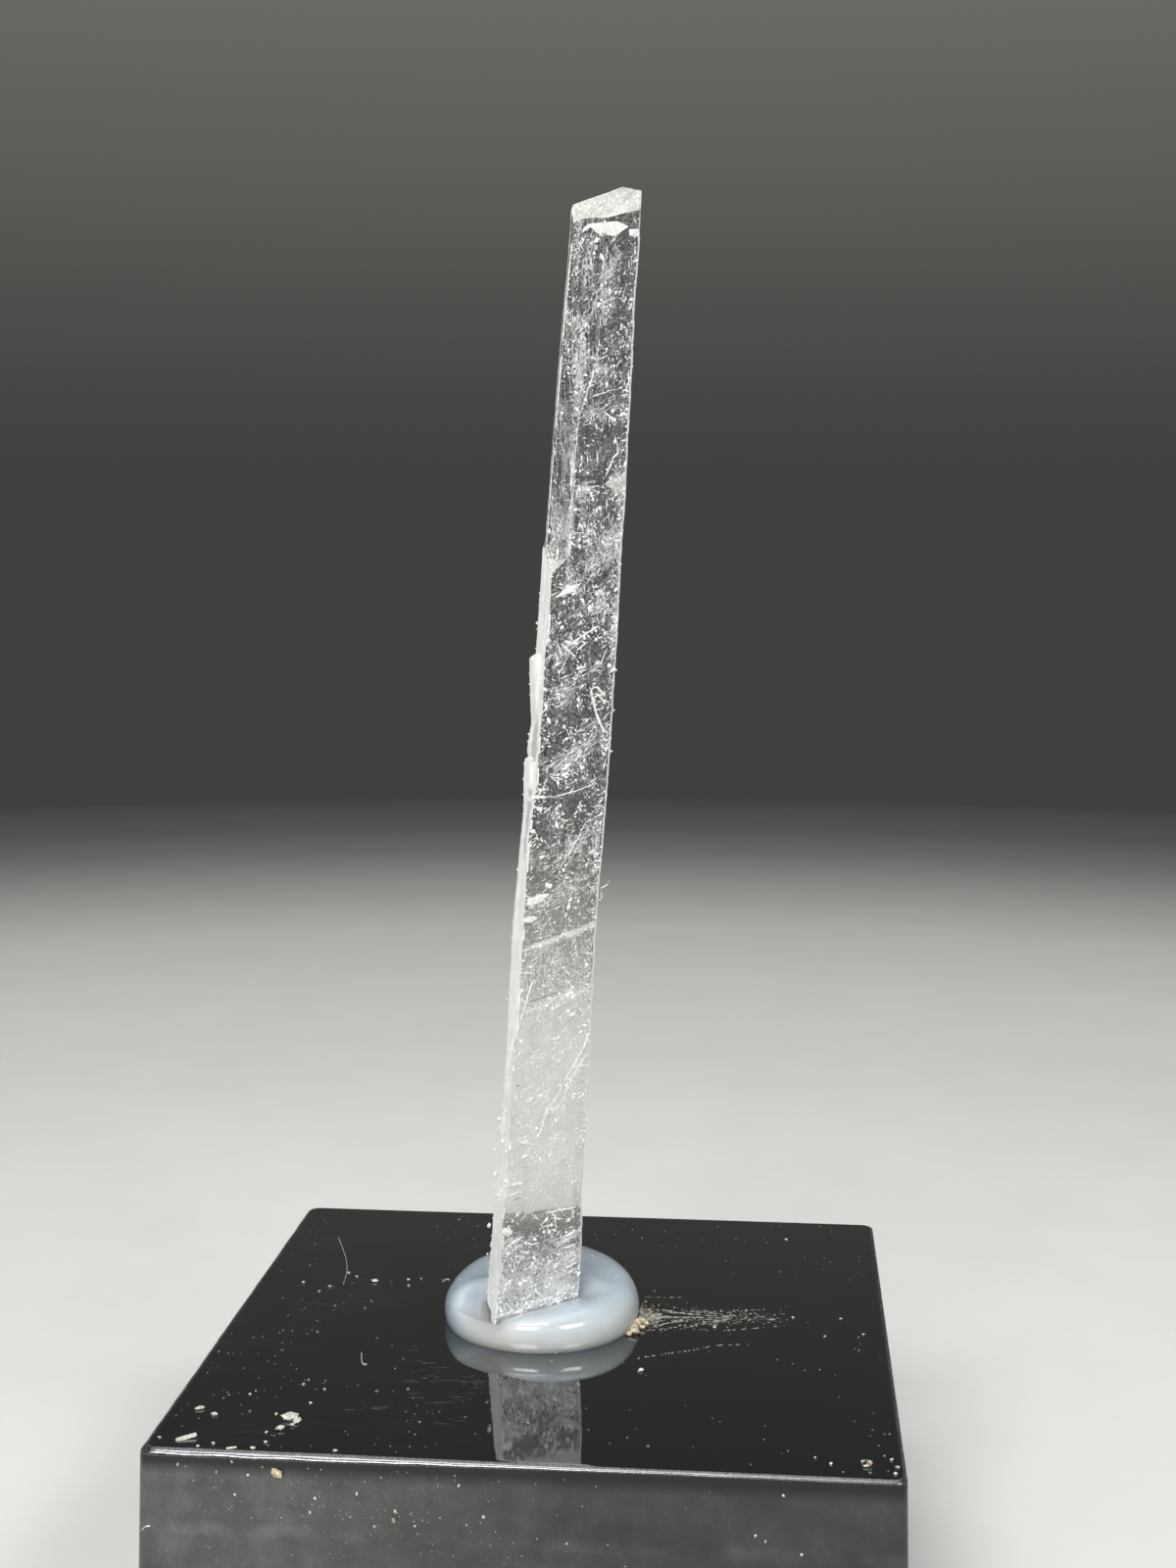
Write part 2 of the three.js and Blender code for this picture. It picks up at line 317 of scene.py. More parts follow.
def block_top_material(name, colour, film_colour):
    """Polished black moulding under a thin film of brush scratches and dust."""
    n = Nodes(name)
    smear = n.noise((2.6, 2.0, 1.1), detail=4.0, rough=0.6)
    scratch = n.noise((2.2, 0.03, 2.2), (0, 0, math.radians(-7)), 3.0, 0.65)
    left = n.ramp(n.along("X"), 1.0, -6.0, 0.25, 1.0)
    tone = n.times(n.ramp(smear, 0.4, 0.7), n.ramp(scratch, 0.5, 0.72), left, 0.25)
    n.set(IOR=2.7, Base_Color=n.colours(tone, colour, film_colour),
          Roughness=n.ramp(tone, 0.0, 0.5, 0.012, 0.2))
    n.bump(n.plus(n.times(scratch, 0.5), smear), 0.004, 0.1)
    return n.material


def block_side_material(name, colour, film_colour):
    """The moulding's sides: less glossy, smudged towards the front and the left, and darker just
    under the top edge as a painted dark reflection."""
    n = Nodes(name)
    smear = n.noise((1.1, 1.1, 0.8), detail=3.0, rough=0.5)
    blotch = n.noise((0.5, 0.5, 0.9), detail=3.0, rough=0.6)
    grit = n.noise((0.05, 0.05, 0.05), detail=2.0)
    z = n.along("Z")
    left = n.ramp(n.along("X"), 2.0, -7.0, 0.17, 0.40)
    lower = n.times(n.ramp(z, -1.75, -1.9, 0.0, 0.3), n.ramp(z, -2.08, -2.2, 1.0, 0.0),
                    n.ramp(smear, 0.35, 0.6), left)
    cloud = n.times(n.ramp(smear, 0.3, 0.7, 0.7, 1.25), n.ramp(blotch, 0.35, 0.65, 0.88, 1.12))
    # Painted dark reflection: the film thins just under the top edge.
    film = n.times(n.plus(left, lower), cloud, n.ramp(z, -0.3, -0.62, 0.12, 1.0),
                   n.ramp(grit, 0.5, 0.75, 1.0, 1.3), n.ramp(n.along("Y"), -9.3, -7.0, 1.0, 0.4))
    n.set(IOR=1.4, Base_Color=n.colours(film, colour, film_colour),
          Roughness=n.ramp(film, 0.0, 0.8, 0.14, 0.4))
    n.bump(smear, 0.01, 0.2)
    return n.material


def edge_wear_and_highlight_material(name, low, high):
    """The block's worn top edge, which scatters the light along it, most to the right; its lighter
    rubbed tone is partly wear and partly a painted highlight.
    """
    n = Nodes(name)
    rub = n.noise((0.05, 0.3, 0.06), detail=4.0, rough=0.65)
    wear = n.noise((1.3, 1.3, 0.5), detail=3.0)
    # The rubbed tone, lighter than the block, is partly wear and partly a painted highlight.
    n.set(IOR=1.9, Base_Color=n.colours(n.ramp(rub, 0.4, 0.7), low, high),
          Roughness=n.plus(n.ramp(wear, 0.35, 0.65, 0.07, 0.17),
                           n.ramp(n.along("X"), -1.0, 7.0, 0.0, 0.15)))
    n.bump(rub, 0.006, 0.3)
    return n.material


# How far from its middle the floor's painted shade of light falloff begins, and its rim, in metres.
# Its painted tones between them are (share of the way, level).
FLOOR_SHADE_START, FLOOR_REACH = 0.050, 0.203
FLOOR_FALLOFF_SHADE = [
    (0.0, 0.75), (0.11, 0.7), (0.29, 0.665), (0.415, 0.605), (0.575, 0.405), (0.69, 0.26),
    (0.82, 0.17), (1.0, 0.12),
]
FLOOR_TINT = (1, 0.995, 0.96)


def floor_material():
    """Plain pale table, painted darker with distance down to dark grey as painted shade of the
    light's falloff.
    """
    n = Nodes("floor_with_painted_falloff")
    length = n.node("ShaderNodeVectorMath", {0: n.place}, operation="LENGTH").outputs["Value"]
    # Painted shade: the floor's colour falls off with distance from its middle.
    tone = n.node("ShaderNodeValToRGB", {"Fac": n.ramp(length, FLOOR_SHADE_START, FLOOR_REACH)})
    for position, _ in FLOOR_FALLOFF_SHADE[1:-1]:
        tone.color_ramp.elements.new(position)
    for element, (position, level) in zip(tone.color_ramp.elements, FLOOR_FALLOFF_SHADE):
        element.position = position
        element.color = (*(level * tint for tint in FLOOR_TINT), 1)
    speckle = n.ramp(n.noise((6, 6, 6), detail=4.0, rough=0.6), 0.2, 0.8, 0.06, 0.0)
    n.set(Roughness=0.7, Specular_IOR_Level=0.2,
          Base_Color=n.colours(speckle, tone.outputs["Color"], (0, 0, 0)))
    return n.material


# ---- the crystal's axes ----

# The directions of u, v and up, the place where u and v are 0, and how thick the crystal is.
U_AXIS = np.array([math.cos(YAW), math.sin(YAW), 0.0])
V_AXIS = np.array([-math.sin(YAW), math.cos(YAW), 0.0])
UP = np.array([0.0, 0.0, 1.0])
FOOT_CORNER = np.array([-1.605, -1.725, 0.0])
THICK = 1.05


def on_crystal(u, v, z):
    """A point given by the crystal's own u, v and height, in millimetres."""
    p = FOOT_CORNER + u * U_AXIS + v * V_AXIS
    return (p[0], p[1], z)


# Edges of the lath as (height, u): the right edge, and the left edge at the back and front.
RIGHT = [
    (0, 2.46), (2.03, 2.61), (3.06, 2.65), (4, 2.62), (7.92, 2.87), (8.7, 2.88), (12.13, 3.06),
    (14.17, 3.25), (16.64, 3.44), (20.37, 3.67), (22.5, 3.77), (23.73, 3.87), (25.01, 3.92),
    (27.51, 4.06), (28.99, 4.11), (31.28, 4.31), (33, 4.4),
]
LEFT_BACK = [
    (0, 0.03), (3.59, 0.31), (4.23, 0.42), (5.84, 0.49), (6.27, 0.56), (7.86, 0.67), (11.83, 0.89),
    (14.97, 1.2), (16.25, 1.22), (16.41, 1.24), (16.48, 1.35), (16.61, 1.31), (17.4, 1.43),
    (19.25, 1.37), (19.34, 1.57), (22.3, 1.78), (22.46, 1.85), (27.75, 2.27), (33, 2.79),
]
LEFT_FRONT = [
    (0, -0.03), (0.63, 0), (1.89, 0.2), (3.64, 0.25), (4.56, 0.39), (7.25, 0.51), (10.58, 0.8),
    (14.26, 1.02), (15.8, 1.27), (17, 1.33), (17.9, 1.44), (19.29, 1.49), (20.15, 1.61),
    (21.57, 1.69), (33, 2.76),
]
# The split flake's scar: (height, u) where it ends on the front face, and (height, v) where it
# ends on the left side.
SCAR_FRONT = [
    (21.5, 0.0), (21.62, 0.02), (21.9, 0.34), (22.22, 0.45), (22.3, 0.45), (23.3, 0.36),
    (23.9, 0.33), (24.6, 0.32), (25.3, 0.35), (25.8, 0.36), (26.6, 0.6), (27.1, 0.72),
    (27.35, 0.84), (27.45, 0.76), (29, 0.74), (31.1, 0.62), (33, 0.6),
]
SCAR_SIDE = [
    (21.5, 0.0), (21.62, 0.02), (21.9, 0.5), (22.35, 0.84), (24, 0.86), (27, 0.8), (33, 0.8),
]
# Heights where the scar begins, where its ledge is broken off flat, and where it is fully deep.
SCAR_START, LEDGE_TOP, SCAR_FULL = 21.55, 21.98, 22.3


def right_u(z):
    return lerp_list(RIGHT, z)


def left_u(v, z):
    """The left side's u: splinters stand out of the back part of it."""
    share = smooth(0.30, 0.48, v / THICK)
    return lerp_list(LEFT_FRONT, z) * (1 - share) + lerp_list(LEFT_BACK, z) * share


# The tip's surface as (u, height), along its front edge and its back edge.
TIP_FRONT = [
    (2.2, 31.12), (2.6, 31.1), (3.33, 31.19), (3.8, 31.34), (4.2, 31.45), (4.27, 31.94),
    (4.34, 31.97),
]
TIP_BACK = [
    (2.667, 31.64), (3.02, 31.78), (3.44, 31.94), (3.74, 32.05), (4.04, 32.18), (4.16, 32.22),
    (4.34, 32.16),
]


def tip_height(u, t):
    """The broken tip's surface; t runs from 0 at its front edge to 1 at the back edge."""
    front, back = lerp_list(TIP_FRONT, u), lerp_list(TIP_BACK, u)
    steep = smooth(3.6, 4.3, u)
    shape = (1 - steep) * t ** 0.85 + steep * (0.66 * (1 - (1 - t) ** 12) + 0.34 * t)
    corner = smooth(4.2, 4.32, u)
    shape = shape * (1 - corner) + t * corner
    return front + (back - front) * shape


# ---- where haze lies in the crystal ----

# Hazy veils as (u, z, half width, half length, lean, strength). The lean is in degrees from
# upright towards the right. A strength below 0 is a clear window.
VEILS = [
    (2.68, 30.11, 0.15, 0.7, 6, 1.0), (2.36, 30.7, 0.16, 0.4, 0, 0.9),
    (3.31, 29.78, 0.14, 0.5, 32, 1.1), (3.0, 28.97, 0.28, 0.45, 15, 0.9),
    (3.38, 29.2, 0.2, 1.0, 10, 0.5), (2.33, 29.85, 0.12, 0.66, 3, 0.7),
    (2.56, 28.37, 0.26, 0.32, 0, 0.9), (3.88, 30.78, 0.28, 0.55, 0, -1.6),
    (2.95, 29.74, 0.09, 0.26, 0, -0.9), (2.45, 27.41, 0.26, 0.55, 8, 1.5),
    (2.39, 26.54, 0.14, 0.6, 4, 1.4), (2.12, 26.6, 0.06, 0.6, 4, -1.0),
    (3.21, 27.03, 0.4, 0.34, 20, 0.7), (2.23, 24.76, 0.1, 0.85, 4, 1.2),
    (2.78, 25.87, 0.75, 0.14, 4, 0.6), (3.9, 24.92, 0.08, 0.8, 3, 1.1),
    (1.92, 22.8, 0.24, 0.5, 3, 1.5), (1.76, 22.9, 0.14, 0.6, 3, 1.4),
    (2.24, 23.09, 0.07, 1.4, 3, 1.6), (3.54, 24.07, 0.26, 0.26, 0, 1.0),
    (2.66, 23.82, 0.28, 0.18, 10, 0.9), (3.71, 21.93, 0.1, 1.82, 3, 1.3),
    (3.29, 22.3, 0.34, 0.55, 12, 1.1), (2.7, 22.9, 0.3, 0.5, 5, 0.7),
    (2.9, 21.7, 0.22, 0.5, 60, 0.7), (2.5, 21.2, 0.4, 0.3, 20, 0.5),
    (2.99, 20.62, 0.3, 0.45, 50, 0.8), (1.98, 18.32, 0.25, 0.5, 55, 0.7),
    (2.33, 16.56, 0.3, 0.8, 60, 0.8), (3.49, 19.42, 0.08, 0.95, 3, 1.1),
    (2.0, 19.4, 0.45, 0.4, 40, 0.5), (2.9, 17.2, 0.35, 0.5, 40, 0.4),
    (2.2, 13.9, 0.35, 0.7, 60, 0.5), (2.6, 15.3, 0.6, 0.1, 0, -0.8),
    (1.9, 12.6, 0.25, 0.8, 65, 0.5), (3.05, 14.2, 0.1, 1.6, 3, 0.7),
    (2.0, 11.45, 0.07, 1.2, 74, 2.3), (1.9, 9.66, 0.15, 1.25, 75, 2.2),
    (0.3, 1.5, 0.18, 0.28, 0, 1.4), (1.71, 1.3, 0.26, 0.36, 0, 1.3),
    (0.45, 2.7, 0.2, 0.3, 60, 1.0), (2.3, 2.8, 0.12, 0.35, 65, 1.2), (2.3, 2.2, 0.1, 0.3, 65, 1.0),
    (1.3, 0.95, 0.12, 1.3, 72, 1.3), (1.2, 3.35, 0.25, 1.2, 80, -0.7),
    (1.2, 1.5, 0.55, 1.3, 80, 0.6),
]
# How far a veil reaches: in millimetres of height, and as a square of its own half sizes.
VEIL_HEIGHT, VEIL_REACH = 2.6, 5


def veil_at(u, z):
    """How strongly the veils whiten (u, z)."""
    total = 0.0
    for mid_u, mid_z, half_u, half_z, lean, strength in VEILS:
        du, dz = u - mid_u, z - mid_z
        if abs(dz) > VEIL_HEIGHT:
            continue
        turn = math.radians(lean)
        across = du * math.cos(turn) - dz * math.sin(turn)
        along = du * math.sin(turn) + dz * math.cos(turn)
        far = (across / half_u) ** 2 + (along / half_z) ** 2
        if far < VEIL_REACH:
            total += strength * math.exp(-far)
    return total


# The crystal's materials, in the order of its slots.
CLEAR, HAZY, VEIL, SCAR, LOW, BACK, SIDE, BREAK, TIP, CORE = range(10)
# How white a place has to be for the veiled and for the hazy material.
VEIL_LEVEL, HAZE_LEVEL = 0.68, 0.22


def haze_kind(u, z, dither, clear_kind, hazy_kind):
    """Which material lies at (u, z): between the foot and the upper half it is the even one."""
    foot = 0.9 * smooth(3.75, 3.45, z) * (1 - 0.35 * smooth(3.1, 2.2, z))
    uneven = max(smooth(7.5, 14.0, z), foot)
    clump = 0.75 * wobble(u, 0, z * 0.8, 0.13, 41) + 0.45 * wobble(u, 0, z * 0.6, 0.5, 43)
    veil = veil_at(u, z)
    level = (veil + clump + dither) * uneven + veil * 0.35 * (1 - uneven)
    if level > VEIL_LEVEL:
        return VEIL
    if 1 - uneven > 0.5 + dither:
        return LOW
    return hazy_kind if level > HAZE_LEVEL else clear_kind


# ---- the crystal's body ----

# Corners of one level along each side, the height from one level to the next, and the top level.
N_FRONT, N_RIGHT, N_BACK, N_LEFT, N_SCAR = 56, 14, 26, 18, 18
ROW, ROWS_TOP = 0.08, 31.04
# Closer levels, where the flake has split off.
SPLIT_START, SPLIT_ROW, SPLIT_ROWS = 21.5, 0.04, 25
# The height from which the levels are lifted to the broken tip, and the rings that close it.
TIP_START, TIP_RINGS = 30.2, 14
# The front's left edge is broken where a wobble is over the first of these, and more often in one
# stretch of heights, where it only has to be over the second.
EDGE_BROKEN, EDGE_BROKEN_MORE = 0.12, 0.05
BROKEN_LOW, BROKEN_HIGH = 23.7, 25.0
# Clearer cores on the left side, as (height, half height).
SIDE_CORES = [(14.5, 1.0), (16.95, 0.6)]
CORE_MIDDLE, CORE_HALF = 0.53, 0.27
# How much of the left side is seen beside the front, in millimetres of u.
SEEN_SIDE = 0.37
# By how much the whiteness of a face is moved up or down at random.
DITHER = 0.3
# The bevel between the right side and the back, and how much is worn off the front's right edge
# and off the corner of the back and the left side, in millimetres.
BEVEL, EDGE_WORN, CORNER_WORN = 0.05, 0.062, 0.08


def in_core(v, z, share):
    """Whether a place on the left side, at a share of the way along it, is a clearer core."""
    return any(
        ((z - middle) / half) ** 2 + ((share - CORE_MIDDLE) / CORE_HALF) ** 2
        < 1 + 0.8 * wobble(3, v, z, 0.2, 14)
        for middle, half in SIDE_CORES
    )


def crystal_ring(z):
    """One level of the crystal: (u, v, kind of the face that follows) around its outline."""
    rng = random.Random(int(z * 1000))
    ru = right_u(z)
    scar_u, scar_v = 0.0, 0.0
    if z >= SCAR_START:
        scar_u = lerp_list(SCAR_FRONT, z) + 0.02 * wobble(1, 0, z, 0.35, 3)
        scar_v = lerp_list(SCAR_SIDE, z)
    front_start = lerp_list(LEFT_FRONT, z) + scar_u
    edge = EDGE_WORN + 0.025 * wobble(0, 0, z, 0.5, 7) + 0.025 * wobble(0, 0, z, 0.12, 9)
    nick = 0.012 * wobble(5, 0, z, 0.16, 1) + 0.01 * wobble(5, 0, z, 0.5, 2)
    corner = CORNER_WORN + 0.03 * wobble(2, 0, z, 0.3, 4)
    limit = EDGE_BROKEN_MORE if BROKEN_LOW < z < BROKEN_HIGH else EDGE_BROKEN
    ring = []
    for s in shares(N_FRONT):
        u = front_start + (ru - edge - front_start) * s
        ring.append((u, 0.0, haze_kind(u, z, rng.uniform(-DITHER, DITHER), CLEAR, HAZY)))
    if wobble(7, 0, z, 0.45, 12) > limit:
        ring[0] = (*ring[0][:2], BREAK)
    ring[-1] = (*ring[-1][:2], BREAK)
    for s in shares(N_RIGHT):
        v = edge * 0.9 + (THICK - BEVEL - edge * 0.9) * s
        ring.append((ru + (nick + 0.012) * (1 - s), v, BACK))
    left_back = lerp_list(LEFT_BACK, z) + 0.012 * wobble(9, 0, z, 0.15, 5)
    for s in shares(N_BACK):
        ring.append((ru - BEVEL + (left_back + corner - ru + BEVEL) * s, THICK, BACK))
    ring[-1] = (*ring[-1][:2], BREAK)
    for i, s in enumerate(shares(N_LEFT)):
        v = THICK - corner + (scar_v - THICK + corner) * s
        rough = 0.012 * wobble(0, v, z, 0.2, 6) * math.sin(math.pi * s)
        kind = CORE if in_core(v, z, s) else SIDE if z < SCAR_FULL else SCAR
        if i < 2 or (i > N_LEFT - 4 and z < SCAR_FULL) or (i < 4 and z > SCAR_FULL):
            kind = BREAK
        ring.append((left_u(v, z) + rough, v, kind))
    side_u, side_v = ring[-1][:2]
    seen_start = left_back - SEEN_SIDE
    for i in range(1, N_SCAR + 1):
        s = i / (N_SCAR + 1)
        hollow = 0.035 * math.sin(math.pi * s) * min(1.0, scar_u / 0.3)
        seen_u = seen_start + (front_start - seen_start) * s
        kind = haze_kind(seen_u, z, rng.uniform(-DITHER, DITHER), SCAR, SCAR)
        ring.append((side_u + (front_start - side_u) * s + hollow, side_v * (1 - s) + hollow,
                     kind if scar_u > 0.01 else BREAK))
    return ring


# The scar on the tip: its depth at the left side, which runs out over a width in u.
TIP_SCAR_DEPTH, TIP_SCAR_LEFT, TIP_SCAR_WIDTH = 0.8, 2.6, 0.62


def tip_share(u, v):
    """How far (u, v) is through the crystal at its tip, from 0 in front to 1 at the back."""
    scar = TIP_SCAR_DEPTH * (1 - (u - TIP_SCAR_LEFT) / TIP_SCAR_WIDTH)
    low = max(0.0, min(scar, TIP_SCAR_DEPTH))
    return min(1.0, max(0.0, (v - low) / (THICK - low)))


def crystal_body(materials):
    """The lath, level by level, and shrinking rings that close it over its uneven tip."""
    rows = [round(ROW * k, 3) for k in range(int(ROWS_TOP / ROW) + 1)]
    closer = [round(SPLIT_START + SPLIT_ROW * k, 3) for k in range(SPLIT_ROWS)]
    heights = sorted(set(rows + closer))
    rings = [crystal_ring(z) for z in heights]
    count = len(rings[0])

    def lifted(u, v, z):
        """Draws the last stretch of the crystal up to the broken tip's surface."""
        if z <= TIP_START:
            return z
        t = (z - TIP_START) / (heights[-1] - TIP_START)
        return TIP_START + (tip_height(u, tip_share(u, v)) - TIP_START) * t

    verts = [on_crystal(u, v, lifted(u, v, z))
             for z, ring in zip(heights, rings) for u, v, _ in ring]
    kinds = []
    for z, ring in zip(heights, rings[:-1]):
        split = SCAR_START < z < SCAR_FULL
        for i, (_, _, kind) in enumerate(ring):
            if split and i >= count - N_SCAR - 1:
                kind = TIP if z < LEDGE_TOP else VEIL
            kinds.append(kind)
    outline = [(u, v) for u, v, _ in rings[-1]]
    middle = tuple(sum(p[k] for p in outline) / count for k in (0, 1))
    for k in range(1, TIP_RINGS):
        for point in outline:
            u, v = between(middle, point, 1 - k / TIP_RINGS)
            rough = 0.035 * wobble(u, v, 3, 0.13, 8) + 0.05 * wobble(u, v, 3, 0.45, 2)
            verts.append(on_crystal(u, v, tip_height(u, tip_share(u, v)) + rough))
    levels = len(rings) + TIP_RINGS - 1
    last = (levels - 1) * count
    verts.append(on_crystal(*middle, tip_height(middle[0], tip_share(*middle))))
    faces = ring_faces(levels, count)
    faces += [(last + i, last + (i + 1) % count, len(verts) - 1) for i in range(count)]
    faces.append(end_faces(levels, count)[0])
    kinds += [TIP] * (TIP_RINGS * count) + [BACK]
    body = piece("crystal_body", verts, faces, materials, kinds, sharp=28)
    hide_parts("nifontovite_crystal")


# ---- small closed solids ----

# Corners and faces of a twenty-sided grain, and the faces of an eight-sided shard.
GOLDEN = (1 + math.sqrt(5)) / 2
GRAIN_RADIUS = math.hypot(1, GOLDEN)
GRAIN_CORNERS = [
    (-1, GOLDEN, 0), (1, GOLDEN, 0), (-1, -GOLDEN, 0), (1, -GOLDEN, 0),
    (0, -1, GOLDEN), (0, 1, GOLDEN), (0, -1, -GOLDEN), (0, 1, -GOLDEN),
    (GOLDEN, 0, -1), (GOLDEN, 0, 1), (-GOLDEN, 0, -1), (-GOLDEN, 0, 1),
]
GRAIN_FACES = [
    (0, 11, 5), (0, 5, 1), (0, 1, 7), (0, 7, 10), (0, 10, 11), (1, 5, 9), (5, 11, 4), (11, 10, 2),
    (10, 7, 6), (7, 1, 8), (3, 9, 4), (3, 4, 2), (3, 2, 6), (3, 6, 8), (3, 8, 9), (4, 9, 5),
    (2, 4, 11), (6, 2, 10), (8, 6, 7), (9, 8, 1),
]
SHARD_FACES = [
    (1, 3, 5), (3, 0, 5), (0, 2, 5), (2, 1, 5), (3, 1, 4), (0, 3, 4), (2, 0, 4), (1, 2, 4),
]


class Pile:
    """Gathers many small closed solids into one mesh."""

    def __init__(self):
        self.verts, self.faces = [], []

    def add(self, verts, faces):
        start = len(self.verts)
        self.verts += [tuple(v) for v in verts]
        self.faces += [tuple(start + i for i in face) for face in faces]

    def shard(self, middle, along, across, up, length, width, height):
        """A splinter: an eight-sided double point."""
        m = np.array(middle, float)
        a, b, c = (np.array(way) * size / 2
                   for way, size in ((along, length), (across, width), (up, height)))
        self.add([m - a, m + a, m - b, m + b, m - c, m + c], SHARD_FACES)

    def grain(self, middle, size, rng, stretch=(1, 1, 1), turn=None):
        """An uneven crumb: a twenty-sided solid with its corners pushed in and out."""
        turn = rng.uniform(0, 2 * math.pi) if turn is None else turn
        c, s = math.cos(turn), math.sin(turn)
        points = []
        for corner in GRAIN_CORNERS:
            r = size / 2 * rng.uniform(0.62, 1.15) / GRAIN_RADIUS
            x, y, z = (p * r * k for p, k in zip(corner, stretch))
            points.append((middle[0] + x * c - y * s, middle[1] + x * s + y * c, middle[2] + z))
        self.add(points, GRAIN_FACES)

    def ridge(self, points, normals, widths, height):
        """A raised line along points: three-sided, running out to a point at both ends."""
        points = [np.array(p, float) for p in points]
        verts = [points[0]]
        for k in range(1, len(points) - 1):
            up = np.array(normals[k], float)
            across = unit(np.cross(up, unit(points[k + 1] - points[k - 1]))) * widths[k] / 2
            verts += [points[k] - across, points[k] + across, points[k] + up * height]
        verts.append(points[-1])
        end = len(verts) - 1
        last = end - 3
        faces = [(0, 2, 1), (0, 3, 2), (0, 1, 3)]
        faces += [tuple(1 + i for i in face) for face in ring_faces(len(points) - 2, 3)]
        faces += [(last, last + 1, end), (last + 1, last + 2, end), (last + 2, last, end)]
        self.add(verts, faces)

    def plate(self, outline, normal, height, peak):
        """A low flake: a flat outline whose upper side rises to a peak."""
        up = np.array(normal, float)
        low = [np.array(p, float) for p in outline]
        count = len(low)
        middle = sum(low) / count
        verts = low + [p + up * height for p in low] + [middle + up * (height + peak), middle]
        faces = []
        for i in range(count):
            j = (i + 1) % count
            faces += [(i, j, count + j, count + i), (count + i, count + j, 2 * count),
                      (j, i, 2 * count + 1)]
        self.add(verts, faces)

    def make(self, name, material, slot="nifontovite"):
        piece(name, self.verts, self.faces, [material])


# ---- marks on the crystal ----

FRONT_NORMAL = -V_AXIS
# How far marks stand out of the skin that they lie on.
PROUD, STROKE_PROUD = 0.001, 0.002


def seen_left(z):
    """Where the front, with the scar seen beside it, begins at a height."""
    if z > SCAR_START:
        return lerp_list(LEFT_BACK, z) - SEEN_SIDE + 0.02
    return lerp_list(LEFT_FRONT, z)


def on_skin(u, z, out):
    """The point that stands out of the crystal's front or scar at (u, z), and the way it faces.

    On the scar, u is read as if the front face went on to the left edge, so that marks can be
    placed by where they are seen from the front."""
    if z > SCAR_START:
        front_u = lerp_list(LEFT_FRONT, z) + lerp_list(SCAR_FRONT, z)
        side_v = lerp_list(SCAR_SIDE, z)
        if u < front_u:
            left = lerp_list(LEFT_BACK, z) - SEEN_SIDE
            share = min(1.0, max(0.0, (front_u - u) / max(front_u - left, 0.05)))
            span = np.array([left_u(side_v, z) - front_u, side_v])
            place = on_crystal(front_u + span[0] * share, span[1] * share, z)
            across = unit(span)
            facing = -(abs(across[1]) * U_AXIS + abs(across[0]) * V_AXIS)
            return np.array(place) + facing * out, facing
    return np.array(on_crystal(u, -out, z)), FRONT_NORMAL


# The way from one point of a line to the next, and how far each one wavers.
LINE_STEP, LINE_WAVER = 0.08, 0.008


def line_on_skin(pile, points, width, seed, height=0.012):
    """A raised hair line through (u, z) points, which wavers a little."""
    rng = random.Random(seed)
    path = []
    for start, end in zip(points, points[1:]):
        count = max(1, int(math.dist(start, end) / LINE_STEP))
        path += [between(start, end, k / count) for k in range(count)]
    path.append(points[-1])
    if len(path) == 2:
        path.insert(1, between(*path, 0.5))
    places, normals, widths = [], [], []
    for u, z in path:
        place, facing = on_skin(u + rng.uniform(-LINE_WAVER, LINE_WAVER),
                                z + rng.uniform(-LINE_WAVER, LINE_WAVER), PROUD)
        places.append(place)
        normals.append(facing)
        widths.append(width * rng.uniform(0.6, 1.3))
    pile.ridge(places, normals, widths, height)


